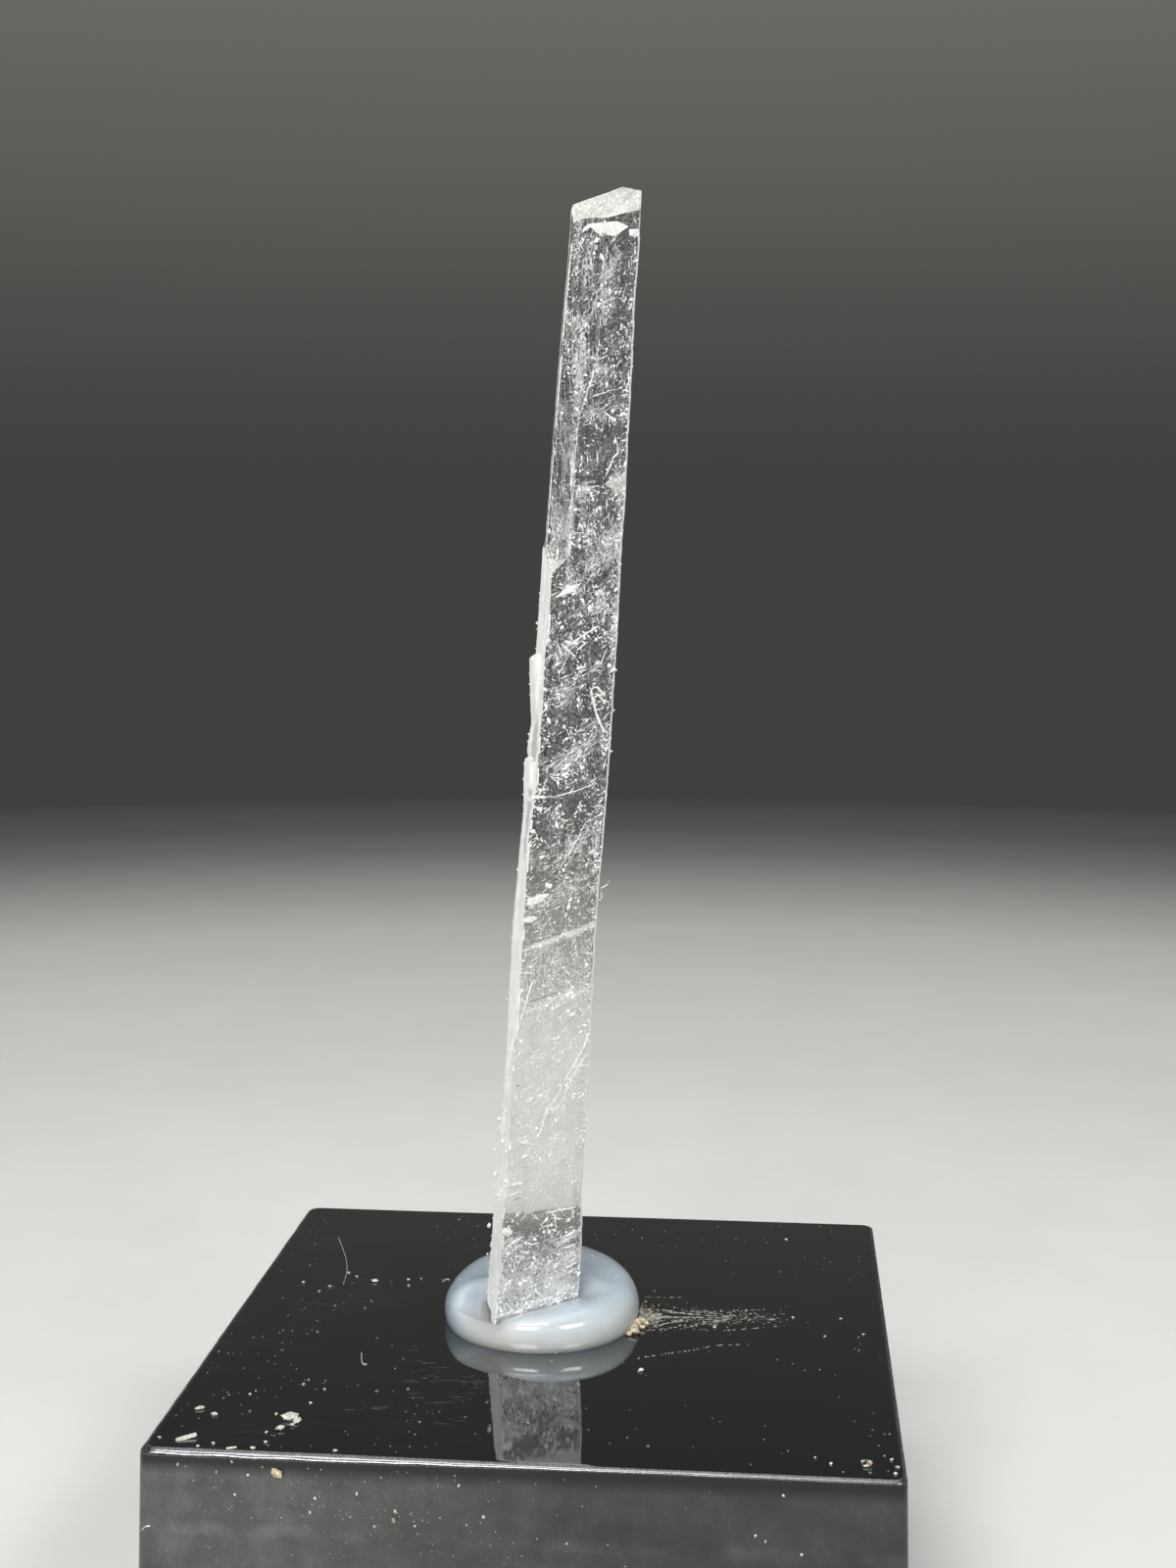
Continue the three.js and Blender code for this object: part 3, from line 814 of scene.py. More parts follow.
# Raised or broken lines on the front, as (width, [(u, z), ...]).
LINES = [
    (0.15, [(3.18, 31.08), (3.18, 30.98), (3.18, 30.82), (3.18, 30.73)]),
    (0.028, [(3.04, 27.37), (2.92, 27.2), (2.76, 26.64), (2.62, 26.2)]),
    (0.02, [(2.62, 26.2), (2.45, 25.77), (2.42, 25.26), (2.33, 24.57), (2.29, 24.15)]),
    (0.05, [(2.3, 24.95), (2.28, 24.4), (2.24, 23.9)]),
    (0.055, [(2.78, 27.5), (3.04, 27.36)]),
    (0.03, [(2.84, 26.38), (3.58, 26.63)]),
    (0.055, [(3.2, 26.0), (3.54, 25.74)]),
    (0.045, [(3.52, 25.37), (3.62, 25.09), (3.63, 24.89), (3.49, 24.75), (3.26, 24.24)]),
    (0.04, [(3.0, 24.97), (3.03, 24.53)]),
    (0.035, [(2.21, 30.36), (2.38, 30.43), (2.52, 30.57), (2.64, 30.76)]),
    (0.05, [(2.16, 19.61), (3.08, 20.16)]),
    (0.045, [(2.41, 19.46), (2.76, 19.72)]),
    (0.055, [(2.01, 19.61), (2.41, 19.28)]),
    (0.04, [(1.83, 19.73), (2.04, 19.28)]),
    (0.035, [(1.92, 18.85), (2.1, 19.2)]),
    (0.08, [(2.37, 18.95), (2.7, 19.03)]),
    (0.03, [(3.34, 19.53), (3.11, 19.05), (2.76, 18.84)]),
    (0.06, [(3.27, 17.15), (3.12, 17.44), (2.99, 17.77), (2.89, 18.15), (2.86, 18.36),
             (2.93, 18.44), (3.05, 18.43), (3.17, 18.31), (3.29, 18.18)]),
    (0.06, [(2.96, 18.27), (3.08, 18.23), (3.26, 18.01), (3.3, 18.03)]),
    (0.03, [(1.81, 17.88), (2.18, 18.14)]),
    (0.045, [(2.25, 16.59), (2.35, 16.8)]),
    (0.045, [(2.36, 16.37), (2.52, 16.58)]),
    (0.07, [(1.06, 15.46), (1.61, 15.41)]),
    (0.03, [(1.61, 15.41), (1.78, 15.43), (2.42, 15.57), (2.98, 15.74)]),
    (0.035, [(1.41, 15.58), (1.55, 15.95)]),
    (0.035, [(1.43, 14.95), (1.73, 15.19)]),
    (0.05, [(2.01, 15.97), (2.21, 16.15)]),
    (0.02, [(2.72, 14.7), (2.42, 14.11), (2.19, 13.79), (1.9, 13.36)]),
    (0.02, [(2.82, 14.62), (2.52, 14.03), (2.29, 13.7), (2.0, 13.3)]),
    (0.03, [(0.59, 10.59), (1.21, 10.47)]),
    (0.02, [(1.65, 10.63), (1.91, 11.22)]),
    (0.02, [(1.85, 10.84), (1.99, 11.28)]),
    (0.04, [(1.15, 10.3), (0.95, 9.71), (0.8, 9.21), (0.63, 8.7), (0.5, 8.32), (0.42, 7.88)]),
    (0.05, [(2.82, 8.64), (2.68, 8.27), (2.35, 7.74), (2.15, 7.44), (1.88, 6.9), (1.64, 6.61),
            (1.5, 6.37), (1.43, 6.07), (1.24, 5.69)]),
    (0.035, [(2.77, 8.07), (2.5, 7.69), (2.29, 7.34), (2.03, 6.77), (1.71, 6.43)]),
    (0.03, [(0.28, 4.14), (0.86, 4.28)]),
    (0.06, [(0.3, 2.63), (0.51, 2.78), (0.68, 2.87), (0.89, 2.96)]),
    (0.05, [(0.89, 2.75), (1.09, 2.67), (1.36, 2.71)]),
    (0.05, [(2.01, 2.78), (2.22, 2.83), (2.51, 2.94)]),
    (0.035, [(1.85, 2.62), (2.2, 2.7), (2.5, 2.8)]),
    (0.045, [(2.01, 2.43), (2.49, 2.54)]),
    (0.05, [(2.19, 2.0), (2.5, 2.13)]),
    (0.04, [(2.1, 1.86), (2.5, 2.0)]),
    (0.04, [(1.53, 3.55), (2.42, 3.62)]),
]

# Lengths of the left edge where a painted glint is laid as a pale raised line, as (from height, to
# height).
EDGE_GLINTS = [(22.4, 25.2), (25.5, 27.7), (27.9, 30.6)]
GLINT_WIDTH, GLINT_STEP, GLINT_OUT = 0.04, 0.3, 0.03

# Thin dark lines of painted shade, where cracks turn the surface away from the light, and, last,
# one small dark inclusion.
DARK_LINES = [
    (0.03, [(1.01, 9.68), (1.5, 9.8), (2.05, 9.94)]),
    (0.03, [(0.92, 11.3), (1.6, 11.48), (2.4, 11.7)]),
    (0.045, [(1.06, 3.61), (1.25, 3.6), (1.53, 3.63)]),
    (0.03, [(0.6, 2.15), (1.2, 2.3), (1.8, 2.42), (2.4, 2.62)]),
    (0.025, [(0.5, 4.02), (0.8, 4.1)]),
    (0.04, [(0.62, 7.30), (0.69, 7.32), (0.76, 7.34)]),
]

# Bands of fine slanting strokes, as (u, z, half length, half width, lean, how many strokes).
BANDS = [
    (1.95, 11.43, 1.05, 0.05, 74, 60), (1.9, 9.64, 1.02, 0.13, 75, 75),
    (2.24, 23.3, 1.5, 0.07, 3, 60), (2.0, 22.75, 0.4, 0.2, 15, 45), (2.05, 24.6, 0.8, 0.16, 4, 24),
    (2.36, 26.2, 1.2, 0.12, 4, 40), (2.66, 23.85, 0.3, 0.25, 80, 26),
    (2.78, 25.87, 0.85, 0.3, 64, 40), (2.8, 27.0, 0.4, 0.4, 66, 16),
    (2.7, 20.6, 0.7, 0.45, 50, 14), (1.98, 18.32, 0.6, 0.35, 55, 16),
    (2.33, 16.56, 0.9, 0.45, 58, 34), (2.1, 13.7, 0.9, 0.5, 60, 22), (1.9, 12.4, 0.9, 0.4, 66, 18),
    (2.2, 2.75, 0.4, 0.16, 72, 26), (2.3, 2.2, 0.3, 0.16, 72, 18), (0.5, 2.75, 0.3, 0.12, 58, 16),
    (0.4, 7.8, 0.3, 0.5, 62, 8), (1.9, 8.5, 0.9, 0.9, 45, 10), (1.6, 6.4, 0.7, 0.9, 40, 12),
]

# Bright flakes and chips on the front, as [(u, z), ...] outlines.
FLAKES = [
    [(2.49, 30.82), (2.56, 30.96), (2.7, 31.05), (2.8, 30.97), (2.66, 30.9)],
    [(2.7, 31.05), (3.13, 31.06), (3.13, 30.73), (2.98, 30.77), (2.78, 30.95)],
    [(3.23, 31.06), (3.57, 31.1), (3.9, 30.98), (3.5, 30.7), (3.23, 30.73)],
    [(3.92, 30.91), (4.2, 30.93), (4.2, 30.74), (4.09, 30.71), (3.92, 30.75)],
    [(2.42, 23.86), (2.5, 23.8), (2.58, 23.84), (2.5, 23.95)],
    [(2.68, 23.84), (2.78, 23.8), (2.82, 23.88), (2.72, 23.92)],
    [(1.8, 20.92), (2.05, 20.99), (2.35, 21.1), (2.56, 21.32), (2.3, 21.28), (2.02, 21.13)],
    [(0.93, 12.42), (1.3, 12.45), (1.66, 12.72), (1.35, 12.72), (1.0, 12.6)],
    [(0.86, 11.95), (1.1, 11.93), (1.32, 12.06), (1.1, 12.11), (0.9, 12.08)],
    [(1.5, 12.92), (1.7, 12.86), (1.7, 12.98), (1.52, 13.04)],
    [(0.46, 4.46), (0.8, 4.42), (0.84, 4.52), (0.6, 4.57)],
    [(0.22, 3.1), (0.39, 2.99), (0.55, 3.1), (0.45, 3.27), (0.25, 3.26)],
]

# Half-clear flakes: the wedge that runs in from the right edge.
PALE_FLAKES = [
    [(3.24, 24.02), (3.5, 23.86), (3.8, 23.8), (3.84, 24.1), (3.85, 24.4), (3.7, 24.28),
     (3.5, 24.2), (3.35, 24.12)],
]


def flake_plates(pile, outlines, height, peak):
    """Plates that lie on the front or the scar, each facing the way of its first corner."""
    for outline in outlines:
        places = [on_skin(u, z, PROUD) for u, z in outline]
        pile.plate([p for p, _ in places], places[0][1], height, peak)


def surface_marks(chips_and_glints, pale, dark):
    """Painted glints along the left edge, scratches, cleavage lines, bright chips, half-clear
    plates and thin lines of painted crack shade on the crystal's front.
    """
    marks, plates, shadows = Pile(), Pile(), Pile()
    # Painted glints: pale raised lines along the left edge.
    for low, high in EDGE_GLINTS:
        points = [(seen_left(z) - GLINT_OUT, z) for z in np.arange(low, high, GLINT_STEP)]
        line_on_skin(marks, points, GLINT_WIDTH, int(low * 10))
    for k, (width, points) in enumerate(LINES):
        line_on_skin(marks, points, width, k)
    flake_plates(marks, FLAKES, 0.010, 0.012)
    flake_plates(plates, PALE_FLAKES, 0.004, 0.02)
    # Painted shade: dark raised lines along cracks, and one dark inclusion.
    for k, (width, points) in enumerate(DARK_LINES):
        line_on_skin(shadows, points, width, 50 + k, height=0.008)
    marks.make("crystal_marks", chips_and_glints)
    plates.make("crystal_pale_flakes", pale)
    shadows.make("crystal_crack_shade_and_inclusion", dark)


def stroke(pile, rng, u, z, lean, length, width):
    """One thin splinter lying on the front; lean is in degrees from upright to the right."""
    place, facing = on_skin(u, z, STROKE_PROUD)
    side = unit(np.cross(UP, facing))
    if side @ U_AXIS < 0:
        side = -side
    turn = math.radians(lean)
    along = math.sin(turn) * side + math.cos(turn) * UP
    pile.shard(place, along, np.cross(facing, along), facing, length, width,
               width * rng.uniform(0.3, 0.6))


# The part of the front that splinters are laid on.
FRONT_LOW, FRONT_HIGH, RIGHT_MARGIN = 0.75, 31.0, 0.13


def inside_front(u, z, margin=0.03):
    return FRONT_LOW < z < FRONT_HIGH and seen_left(z) + margin < u < right_u(z) - RIGHT_MARGIN


def turned(u, z, across, along, lean):
    """The point that is across and along from (u, z), in axes that lean by degrees."""
    c, s = math.cos(math.radians(lean)), math.sin(math.radians(lean))
    return u + across * c + along * s, z - across * s + along * c


# Splinters on a square millimetre of a veil with a strength of 1.
VEIL_STROKES = 95


def veil_strokes(material):
    """Fine splinters that thicken the veils and make the slanting bands."""
    rng = random.Random(8)
    pile = Pile()
    for u, z, half_u, half_z, lean, strength in VEILS:
        for _ in range(int(VEIL_STROKES * half_u * half_z * math.pi * strength)):
            across, along = rng.gauss(0, 0.6) * half_u, rng.gauss(0, 0.6) * half_z
            su, sz = turned(u, z, across, along, lean)
            if inside_front(su, sz):
                length = 0.08 + 0.4 * rng.random() ** 2
                stroke(pile, rng, su, sz, lean + rng.gauss(0, 22), length,
                       rng.uniform(0.014, 0.04))
    for u, z, half_long, half_wide, lean, count in BANDS:
        for _ in range(count):
            along, across = rng.uniform(-1, 1) * half_long, rng.gauss(0, 0.5) * half_wide
            su, sz = turned(u, z, across, along, lean)
            if inside_front(su, sz, 0.08):
                stroke(pile, rng, su, sz, lean + rng.gauss(0, 7), rng.uniform(0.12, 0.5),
                       rng.uniform(0.012, 0.03))
    pile.make("crystal_veils", material)


def fleck_density(u, z):
    """How thickly flecks lie over (u, z), from 0 to 1."""
    high = smooth(10.5, 14.0, z)
    foot = 1.2 * smooth(3.75, 3.4, z)
    low = 0.5 * (1 - high) * smooth(3.6, 6.0, z)
    cloud = 0.35 + 1.1 * wobble(u, 0, z / 1.4, 0.4, 31) + 0.3 * veil_at(u, z)
    edge = 0.6 * smooth(0.3, 0.1, right_u(z) - u) + 0.4 * smooth(0.25, 0.0, u - seen_left(z))
    face = 0.8 * high * (1 - 0.3 * smooth(22, 25, z)) + foot + low
    return face * max(0.04, cloud) + edge * max(0.6 * high, 0.25)


# How many flecks and short scratches there are, and the height from which they lie.
FLECKS, SHORT_SCRATCHES = 2650, 1000
FLECKS_FROM = 0.7
# Over this height most scratches run up the crystal; under it they lie every way.
UPRIGHT_FROM = 21.6


def scattered(rng, pile, count, top, margin):
    """Random places on the front by the density of its flecks, until a pile holds count shards."""
    while len(pile.faces) < count * len(SHARD_FACES):
        z = rng.uniform(FLECKS_FROM, top)
        u = rng.uniform(seen_left(z), right_u(z) - margin)
        if rng.random() <= fleck_density(u, z):
            yield u, z


def surface_flecks(material):
    """Dust-fine flecks, burrs and short scratches all over the broad face."""
    rng = random.Random(5)
    dots, rods = Pile(), Pile()
    for u, z in scattered(rng, dots, FLECKS, top=31.2, margin=0.03):
        place, facing = on_skin(u, z, STROKE_PROUD)
        side = np.cross(UP, facing)
        turn = rng.uniform(0, math.pi)
        along = math.cos(turn) * side + math.sin(turn) * UP
        across = math.cos(turn) * UP - math.sin(turn) * side
        size = min(0.13, 0.024 * math.exp(abs(rng.gauss(0, 0.6))))
        dots.shard(place, along, across, facing, size * rng.uniform(1, 2.2), size, size * 0.6)
    for u, z in scattered(rng, rods, SHORT_SCRATCHES, top=31.0, margin=0.1):
        if z > UPRIGHT_FROM:
            lean = rng.gauss(2, 10) if rng.random() < 0.7 else rng.gauss(62, 15)
        else:
            lean = rng.gauss(55, 20) if rng.random() < 0.35 else rng.uniform(-90, 90)
        stroke(rods, rng, u, z, lean, 0.06 + 0.34 * rng.random() ** 2.5, rng.uniform(0.016, 0.04))
    dots.make("crystal_flecks", material)
    rods.make("crystal_scratches", material)


# Nubs on the edges, as (u, z, size): on the right edge, and on the left side's back edge.
RIGHT_NUBS = [
    (4.07, 27.5, 0.08), (4.03, 26.89, 0.1), (3.98, 26.25, 0.07), (4.2, 29.9, 0.07),
    (3.95, 25.2, 0.06), (3.69, 20.72, 0.1), (3.58, 17.78, 0.11), (3.53, 16.63, 0.09),
    (3.3, 14.4, 0.06), (2.99, 10.9, 0.1), (2.72, 5.6, 0.06), (2.66, 3.1, 0.08),
]
LEFT_NUBS = [
    (0.47, 6.13, 0.13), (0.44, 5.8, 0.09), (0.36, 5.26, 0.11), (0.39, 4.53, 0.16),
    (0.34, 4.2, 0.08), (0.17, 3.03, 0.13), (0.12, 2.2, 0.06), (0.72, 9.6, 0.06),
    (1.38, 17.1, 0.07), (1.62, 20.2, 0.07),
]
# Crumbs on the left side, as (height, share of the way from its back edge, size).
SIDE_CRUMBS = [
    (7.38, 0.3, 0.1), (6.45, 0.45, 0.12), (5.58, 0.4, 0.14), (5.4, 0.8, 0.1), (4.57, 0.9, 0.14),
    (4.15, 0.55, 0.13), (3.97, 0.3, 0.12), (3.3, 0.6, 0.11), (1.6, 0.9, 0.08), (1.2, 0.5, 0.08),
]
# How many small burrs are scattered on the right edge and on the left side's edges, between which
# heights, and how many at the foot, between which places in u.
RIGHT_BURRS, RIGHT_HEIGHTS = 70, (3.0, 30.8)
LEFT_BURRS, LEFT_HEIGHTS = 120, (0.8, 21.5)
FOOT_BURRS, FOOT_SPAN = 230, (-0.05, 2.5)


def edge_nubs(material):
    """Crumbs and burrs that stick to the crystal's edges and to its foot."""
    rng = random.Random(13)
    pile = Pile()
    for u, z, size in RIGHT_NUBS:
        pile.grain(on_crystal(u - 0.02, 0.10, z), size, rng)
    for u, z, size in LEFT_NUBS:
        pile.grain(on_crystal(u - 0.01, THICK - 0.06, z), size, rng, (1, 1, 1.3))
    for z, share, size in SIDE_CRUMBS:
        v = THICK * (1 - share)
        pile.grain(on_crystal(left_u(v, z) - 0.01, v, z), size, rng)
    for _ in range(RIGHT_BURRS):
        z = rng.uniform(*RIGHT_HEIGHTS)
        pile.grain(on_crystal(right_u(z) + rng.uniform(-0.03, 0.012), rng.uniform(0.02, 0.14), z),
                   rng.uniform(0.03, 0.06), rng)
    for _ in range(LEFT_BURRS):
        z = rng.uniform(*LEFT_HEIGHTS)
        v = rng.choice((0.03, THICK - 0.06)) + rng.uniform(-0.02, 0.02)
        pile.grain(on_crystal(left_u(v, z) - 0.004, v, z), rng.uniform(0.03, 0.07), rng)
    for _ in range(FOOT_BURRS):
        u = rng.uniform(*FOOT_SPAN)
        z = 0.66 + 0.13 * u + abs(rng.gauss(0, 0.16))
        pile.grain(on_crystal(u, -0.005, z), rng.uniform(0.03, 0.085), rng, (1, 0.5, 1))
    pile.make("crystal_nubs", material)


# ---- the glue dab ----

# How far the drop reaches from its middle, and how high it stands, on each side.
GLUE_REACH = {"left": 2.72, "right": 2.72, "front": 2.84, "back": 2.87}
GLUE_RISE = {"left": 1.15, "right": 1.2, "front": 1.12, "back": 1.5}
# The power of the drop's oval outline, corners round it, and the share of its reach out to which
# its crown is level.
GLUE_OVAL, GLUE_STEPS, CROWN_SHARE = 2.1, 150, 0.6
# Edges of the glue stay sharp where they turn by more than this, in degrees.
GLUE_SHARP = 60
# The crystal's foot at the height of the glue, in millimetres of u.
FOOT_WIDTH = 2.5
# How far off the crystal the glue still clings up to it, and the faint crest round the hollow: its
# gap to the crystal, its width and its height.
CLING_REACH = 0.42
CREST_GAP, CREST_WIDTH, CREST_HEIGHT = 0.75, 0.22, 0.035


def glue_sides(angle, table):
    """A table's value for left or right and for front or back, whichever an angle looks to."""
    return (table["right" if math.cos(angle) > 0 else "left"],
            table["back" if math.sin(angle) > 0 else "front"])


def glue_oval(angle):
    a, b = glue_sides(angle, GLUE_REACH)
    return (abs(math.cos(angle) / a) ** GLUE_OVAL
            + abs(math.sin(angle) / b) ** GLUE_OVAL) ** (-1 / GLUE_OVAL)


def glue_top(angle, share):
    side, end = glue_sides(angle, GLUE_RISE)
    rim = min(1.0, share / CROWN_SHARE)
    middle = sum(GLUE_RISE.values()) / 4
    return (side * math.cos(angle) ** 2 + end * math.sin(angle) ** 2) * rim + middle * (1 - rim)


def soft_least(a, b, blend):
    """The lesser of two heights, rounded off where they cross."""
    mid = max(0.0, blend - abs(a - b)) / blend
    return min(a, b) - mid * mid * blend / 4


def crystal_gap(x, y):
    """How far a point is outside the crystal's foot, and its own u and v there."""
    rel = np.array([x, y, 0.0]) - FOOT_CORNER
    u, v = float(rel @ U_AXIS), float(rel @ V_AXIS)
    return math.hypot(max(-u, 0.0, u - FOOT_WIDTH), max(-v, 0.0, v - THICK)), u, v


# The drop's outline from its foot up over its shoulder to its middle, as shares of its reach
# and its height.
PROFILE = [
    (1.012, 0.0), (1.02, 0.03), (1.028, 0.09), (1.034, 0.17), (1.038, 0.26), (1.038, 0.36),
    (1.033, 0.46), (1.022, 0.56), (1.004, 0.65), (0.98, 0.73), (0.95, 0.8), (0.915, 0.86),
    (0.875, 0.905), (0.83, 0.94), (0.78, 0.965), (0.72, 0.985), (0.66, 0.995), (0.6, 1.0),
    (0.54, 1.0), (0.48, 1.0), (0.42, 0.995), (0.36, 0.99), (0.3, 0.985), (0.24, 0.98),
    (0.18, 0.98), (0.12, 0.98), (0.06, 0.98),
]


def glue_height(x, y, z, share):
    """The drop's height once the crystal's foot is pushed in: a hollow that clings to the crystal,
    a faint crest round it, and a low lip where the foot is seen over it."""
    gap, u, v = crystal_gap(x, y)
    meet = 0.60 + 0.14 * min(max(u, 0.0), FOOT_WIDTH)
    left = smooth(0.25, -0.2, u) * smooth(1.6, 0.8, v)
    dip = meet * (1 - left) + (0.16 + 0.3 * max(v, 0.0)) * left
    lip = soft_least(z, dip + (0.27 + 0.08 * left) * gap, 0.22) if share < 0.99 else z
    if v > 0.3:
        meet += 0.25 * min(1.0, (v - 0.3) / 0.6)
    if z > meet and share < 0.93:
        z += (meet - z) * math.exp(-((gap / CLING_REACH) ** 2))
        z += CREST_HEIGHT * math.exp(-(((gap - CREST_GAP) / CREST_WIDTH) ** 2))
    before = max(smooth(0.35, -0.25, v), left)
    return z * (1 - before) + min(z, lip) * before


def glue_dab(material):
    verts = []
    for share, up in PROFILE:
        for i in range(GLUE_STEPS):
            angle = 2 * math.pi * i / GLUE_STEPS
            reach = glue_oval(angle) * share
            reach *= 1 + 0.006 * wobble(math.cos(angle), math.sin(angle), up, 0.5, 11)
            x = GLUE_MIDDLE[0] + reach * math.cos(angle)
            y = GLUE_MIDDLE[1] + reach * math.sin(angle)
            z = glue_height(x, y, glue_top(angle, share) * up, share)
            z += 0.015 * wobble(x, y, z, 0.7, 12) * up
            verts.append((x, y, max(z, 0.0)))
    faces = ring_faces(len(PROFILE), GLUE_STEPS) + end_faces(len(PROFILE), GLUE_STEPS)
    dab = piece("glue_drop", verts, faces, [material], sharp=GLUE_SHARP)
    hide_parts("glue_dab")
    return dab


# The cutter is this much inside the crystal, and reaches from and to these heights.
FOOT_INSET, FOOT_LOW, FOOT_HIGH = 0.012, -0.4, 3.2


def cut_foot(dab):
    """Takes the crystal's foot out of the glue."""
    corners = []
    for z in (FOOT_LOW, FOOT_HIGH):
        left, right, back = (lerp_list(side, max(z, 0)) for side in (LEFT_FRONT, RIGHT, LEFT_BACK))
        near, far = FOOT_INSET, THICK - FOOT_INSET
        corners += [on_crystal(left + near, near, z), on_crystal(right - near, near, z),
                    on_crystal(right - near, far, z), on_crystal(back + near, far, z)]
    mesh = bpy.data.meshes.new("foot_cutter")
    mesh.from_pydata(to_metres(corners), [], end_faces(2, 4) + ring_faces(2, 4))
    cutter = add_object("foot_cutter", mesh)
    cut = dab.modifiers.new("foot", "BOOLEAN")
    cut.operation = "DIFFERENCE"
    cut.solver = "EXACT"
    cut.object = cutter
    bpy.context.view_layer.objects.active = dab
    bpy.ops.object.modifier_apply(modifier=cut.name)
    bpy.data.objects.remove(cutter)
    round_off(dab.data, GLUE_SHARP)


# ---- the display block ----

# Half the width of the block's top, and how much wider it gets with each millimetre down.
HALF_TOP = 9.5
DRAFT = math.tan(math.radians(1.5))
# The top edge's rounding, and by how much less of it the right side has, where it is less worn.
EDGE_RADIUS = 0.165
EDGE_NARROWING = 0.38
CORNER_RADIUS = 0.27
FOOT_RADIUS = 0.03
# Steps round a corner, over the top edge, along a side and up a wall.
CORNER_STEPS, EDGE_STEPS, SIDE_STEPS, WALL_STEPS = 6, 9, 110, 14
# The block's materials, in the order of its slots.
SIDE_FACE, EDGE_FACE, TOP_FACE = range(3)


def block_ring(half, radius, z, sag=0.0):
    """One level of the block's outline; sag says how much of the edge's unevenness it has."""
    arcs = []
    for k, (right, back) in enumerate(((1, 1), (-1, 1), (-1, -1), (1, -1))):
        angles = [(k + step / CORNER_STEPS) * math.pi / 2 for step in range(CORNER_STEPS + 1)]
        arcs.append([(right * (half - radius) + radius * math.cos(a),
                      back * (half - radius) + radius * math.sin(a)) for a in angles])
    points = []
    for arc, after in zip(arcs, arcs[1:] + arcs[:1]):
        points += arc
        points += [between(arc[-1], after[0], k / SIDE_STEPS) for k in range(1, SIDE_STEPS)]
    ring = []
    for x, y in points:
        sink = 0.03 * (0.5 + 0.5 * wobble(x, y, 0, 0.9, 21))
        sink += 0.015 * (0.5 + 0.5 * wobble(x, y, 0, 0.2, 22))
        ring.append((x, y, z - sink * sag))
    return ring


def block_body(materials):
    """The moulding, whose top edges are rounded and very slightly uneven."""

    def wall(z):
        return block_ring(HALF_TOP - z * DRAFT, CORNER_RADIUS, z)

    rings = [block_ring(HALF_TOP - FOOT_RADIUS + TOP * DRAFT, CORNER_RADIUS - FOOT_RADIUS, -TOP),
             block_ring(HALF_TOP + TOP * DRAFT, CORNER_RADIUS, -TOP + FOOT_RADIUS)]
    rings += [wall(-TOP + FOOT_RADIUS + (TOP - EDGE_RADIUS - FOOT_RADIUS) * k / WALL_STEPS)
              for k in range(1, WALL_STEPS)]
    rings.append(wall(-EDGE_RADIUS - 0.04))
    walls = len(rings)
    sharp = block_ring(HALF_TOP, CORNER_RADIUS, 0)
    for k in range(EDGE_STEPS + 1):
        angle = (k / EDGE_STEPS) * math.pi / 2
        rounded = block_ring(HALF_TOP - EDGE_RADIUS * (1 - math.cos(angle)), CORNER_RADIUS,
                             -EDGE_RADIUS * (1 - math.sin(angle)), math.sin(2 * angle))
        rings.append([between(corner, p, 1 - EDGE_NARROWING * smooth(-6.0, 4.0, corner[0]))
                      for p, corner in zip(rounded, sharp)])
    rings.append(block_ring(HALF_TOP - EDGE_RADIUS - 0.05, CORNER_RADIUS, 0))
    count, levels = len(rings[0]), len(rings)
    bands = [SIDE_FACE] * walls + [EDGE_FACE] * (levels - 2 - walls) + [TOP_FACE]
    kinds = [kind for kind in bands for _ in range(count)] + [SIDE_FACE, TOP_FACE]
    faces = ring_faces(levels, count) + end_faces(levels, count)
    verts = [p for ring in rings for p in ring]
    body = piece("block_body", verts, faces, materials, kinds, sharp=35)
    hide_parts("display_block")


# ---- dust, crumbs and fibres ----

# Specks on the block's top, as (x, y, size).
TOP_SPECKS = [
    (-8.02, 2.26, 0.14), (-7.38, 1.58, 0.1), (-7.15, 2.02, 0.12), (-6.83, 3.24, 0.11),
    (-6.52, 2.92, 0.1), (-5.87, 2.56, 0.22), (-4.8, 2.33, 0.12), (-4.89, 2.83, 0.11),
    (-4.51, 2.95, 0.1), (-6.27, -5.26, 0.11), (-5.65, -5.53, 0.1), (-7.54, -6.03, 0.1),
    (-5.82, -6.43, 0.12), (-6.55, -7.18, 0.11), (-9.13, -8.85, 0.1), (-7.69, -9.05, 0.12),
    (-8.03, -9.25, 0.1), (-6.64, -9.23, 0.13), (-6.41, -8.87, 0.12), (-4.57, -9.19, 0.14),
    (-6.53, -8.3, 0.1), (6.64, 7.68, 0.1), (8.2, 0.91, 0.1), (7.71, -0.49, 0.09),
    (8.8, -0.24, 0.1), (6.81, 0.85, 0.11), (4.55, -0.14, 0.11), (7.29, -8.41, 0.1),
    (7.67, -8.7, 0.11), (2.65, -3.45, 0.18), (-5.97, -7.83, 0.18), (8.44, -8.52, 0.12),
    (9.16, -8.34, 0.12), (9.2, -9.13, 0.14), (9.28, -8.74, 0.11),
]
# Bigger flakes of mineral, as (x, y, length, width, turn in degrees).
TOP_FLAKES = [
    (-6.12, -7.45, 0.42, 0.26, 20), (-5.9, -7.62, 0.26, 0.18, 70), (-6.22, -8.1, 0.24, 0.2, 10),
    (-8.6, -7.07, 0.26, 0.12, 25), (-8.12, -7.39, 0.22, 0.12, -20), (-8.45, -8.84, 0.58, 0.14, 28),
    (-7.17, -9.28, 0.28, 0.06, 5), (8.52, -8.78, 0.15, 0.1, 15),
]
# Crumbs of tan dirt on the top, as (x, y, size).
TAN_CRUMBS = [
    (2.18, -0.52, 0.34), (2.36, -0.28, 0.3), (2.46, -0.12, 0.22), (2.31, -0.81, 0.26),
    (2.08, -0.76, 0.22), (2.5, -0.45, 0.18), (2.15, -0.95, 0.16), (8.6, -8.7, 0.16),
    (2.62, -0.2, 0.16), (2.42, 0.05, 0.18),
]
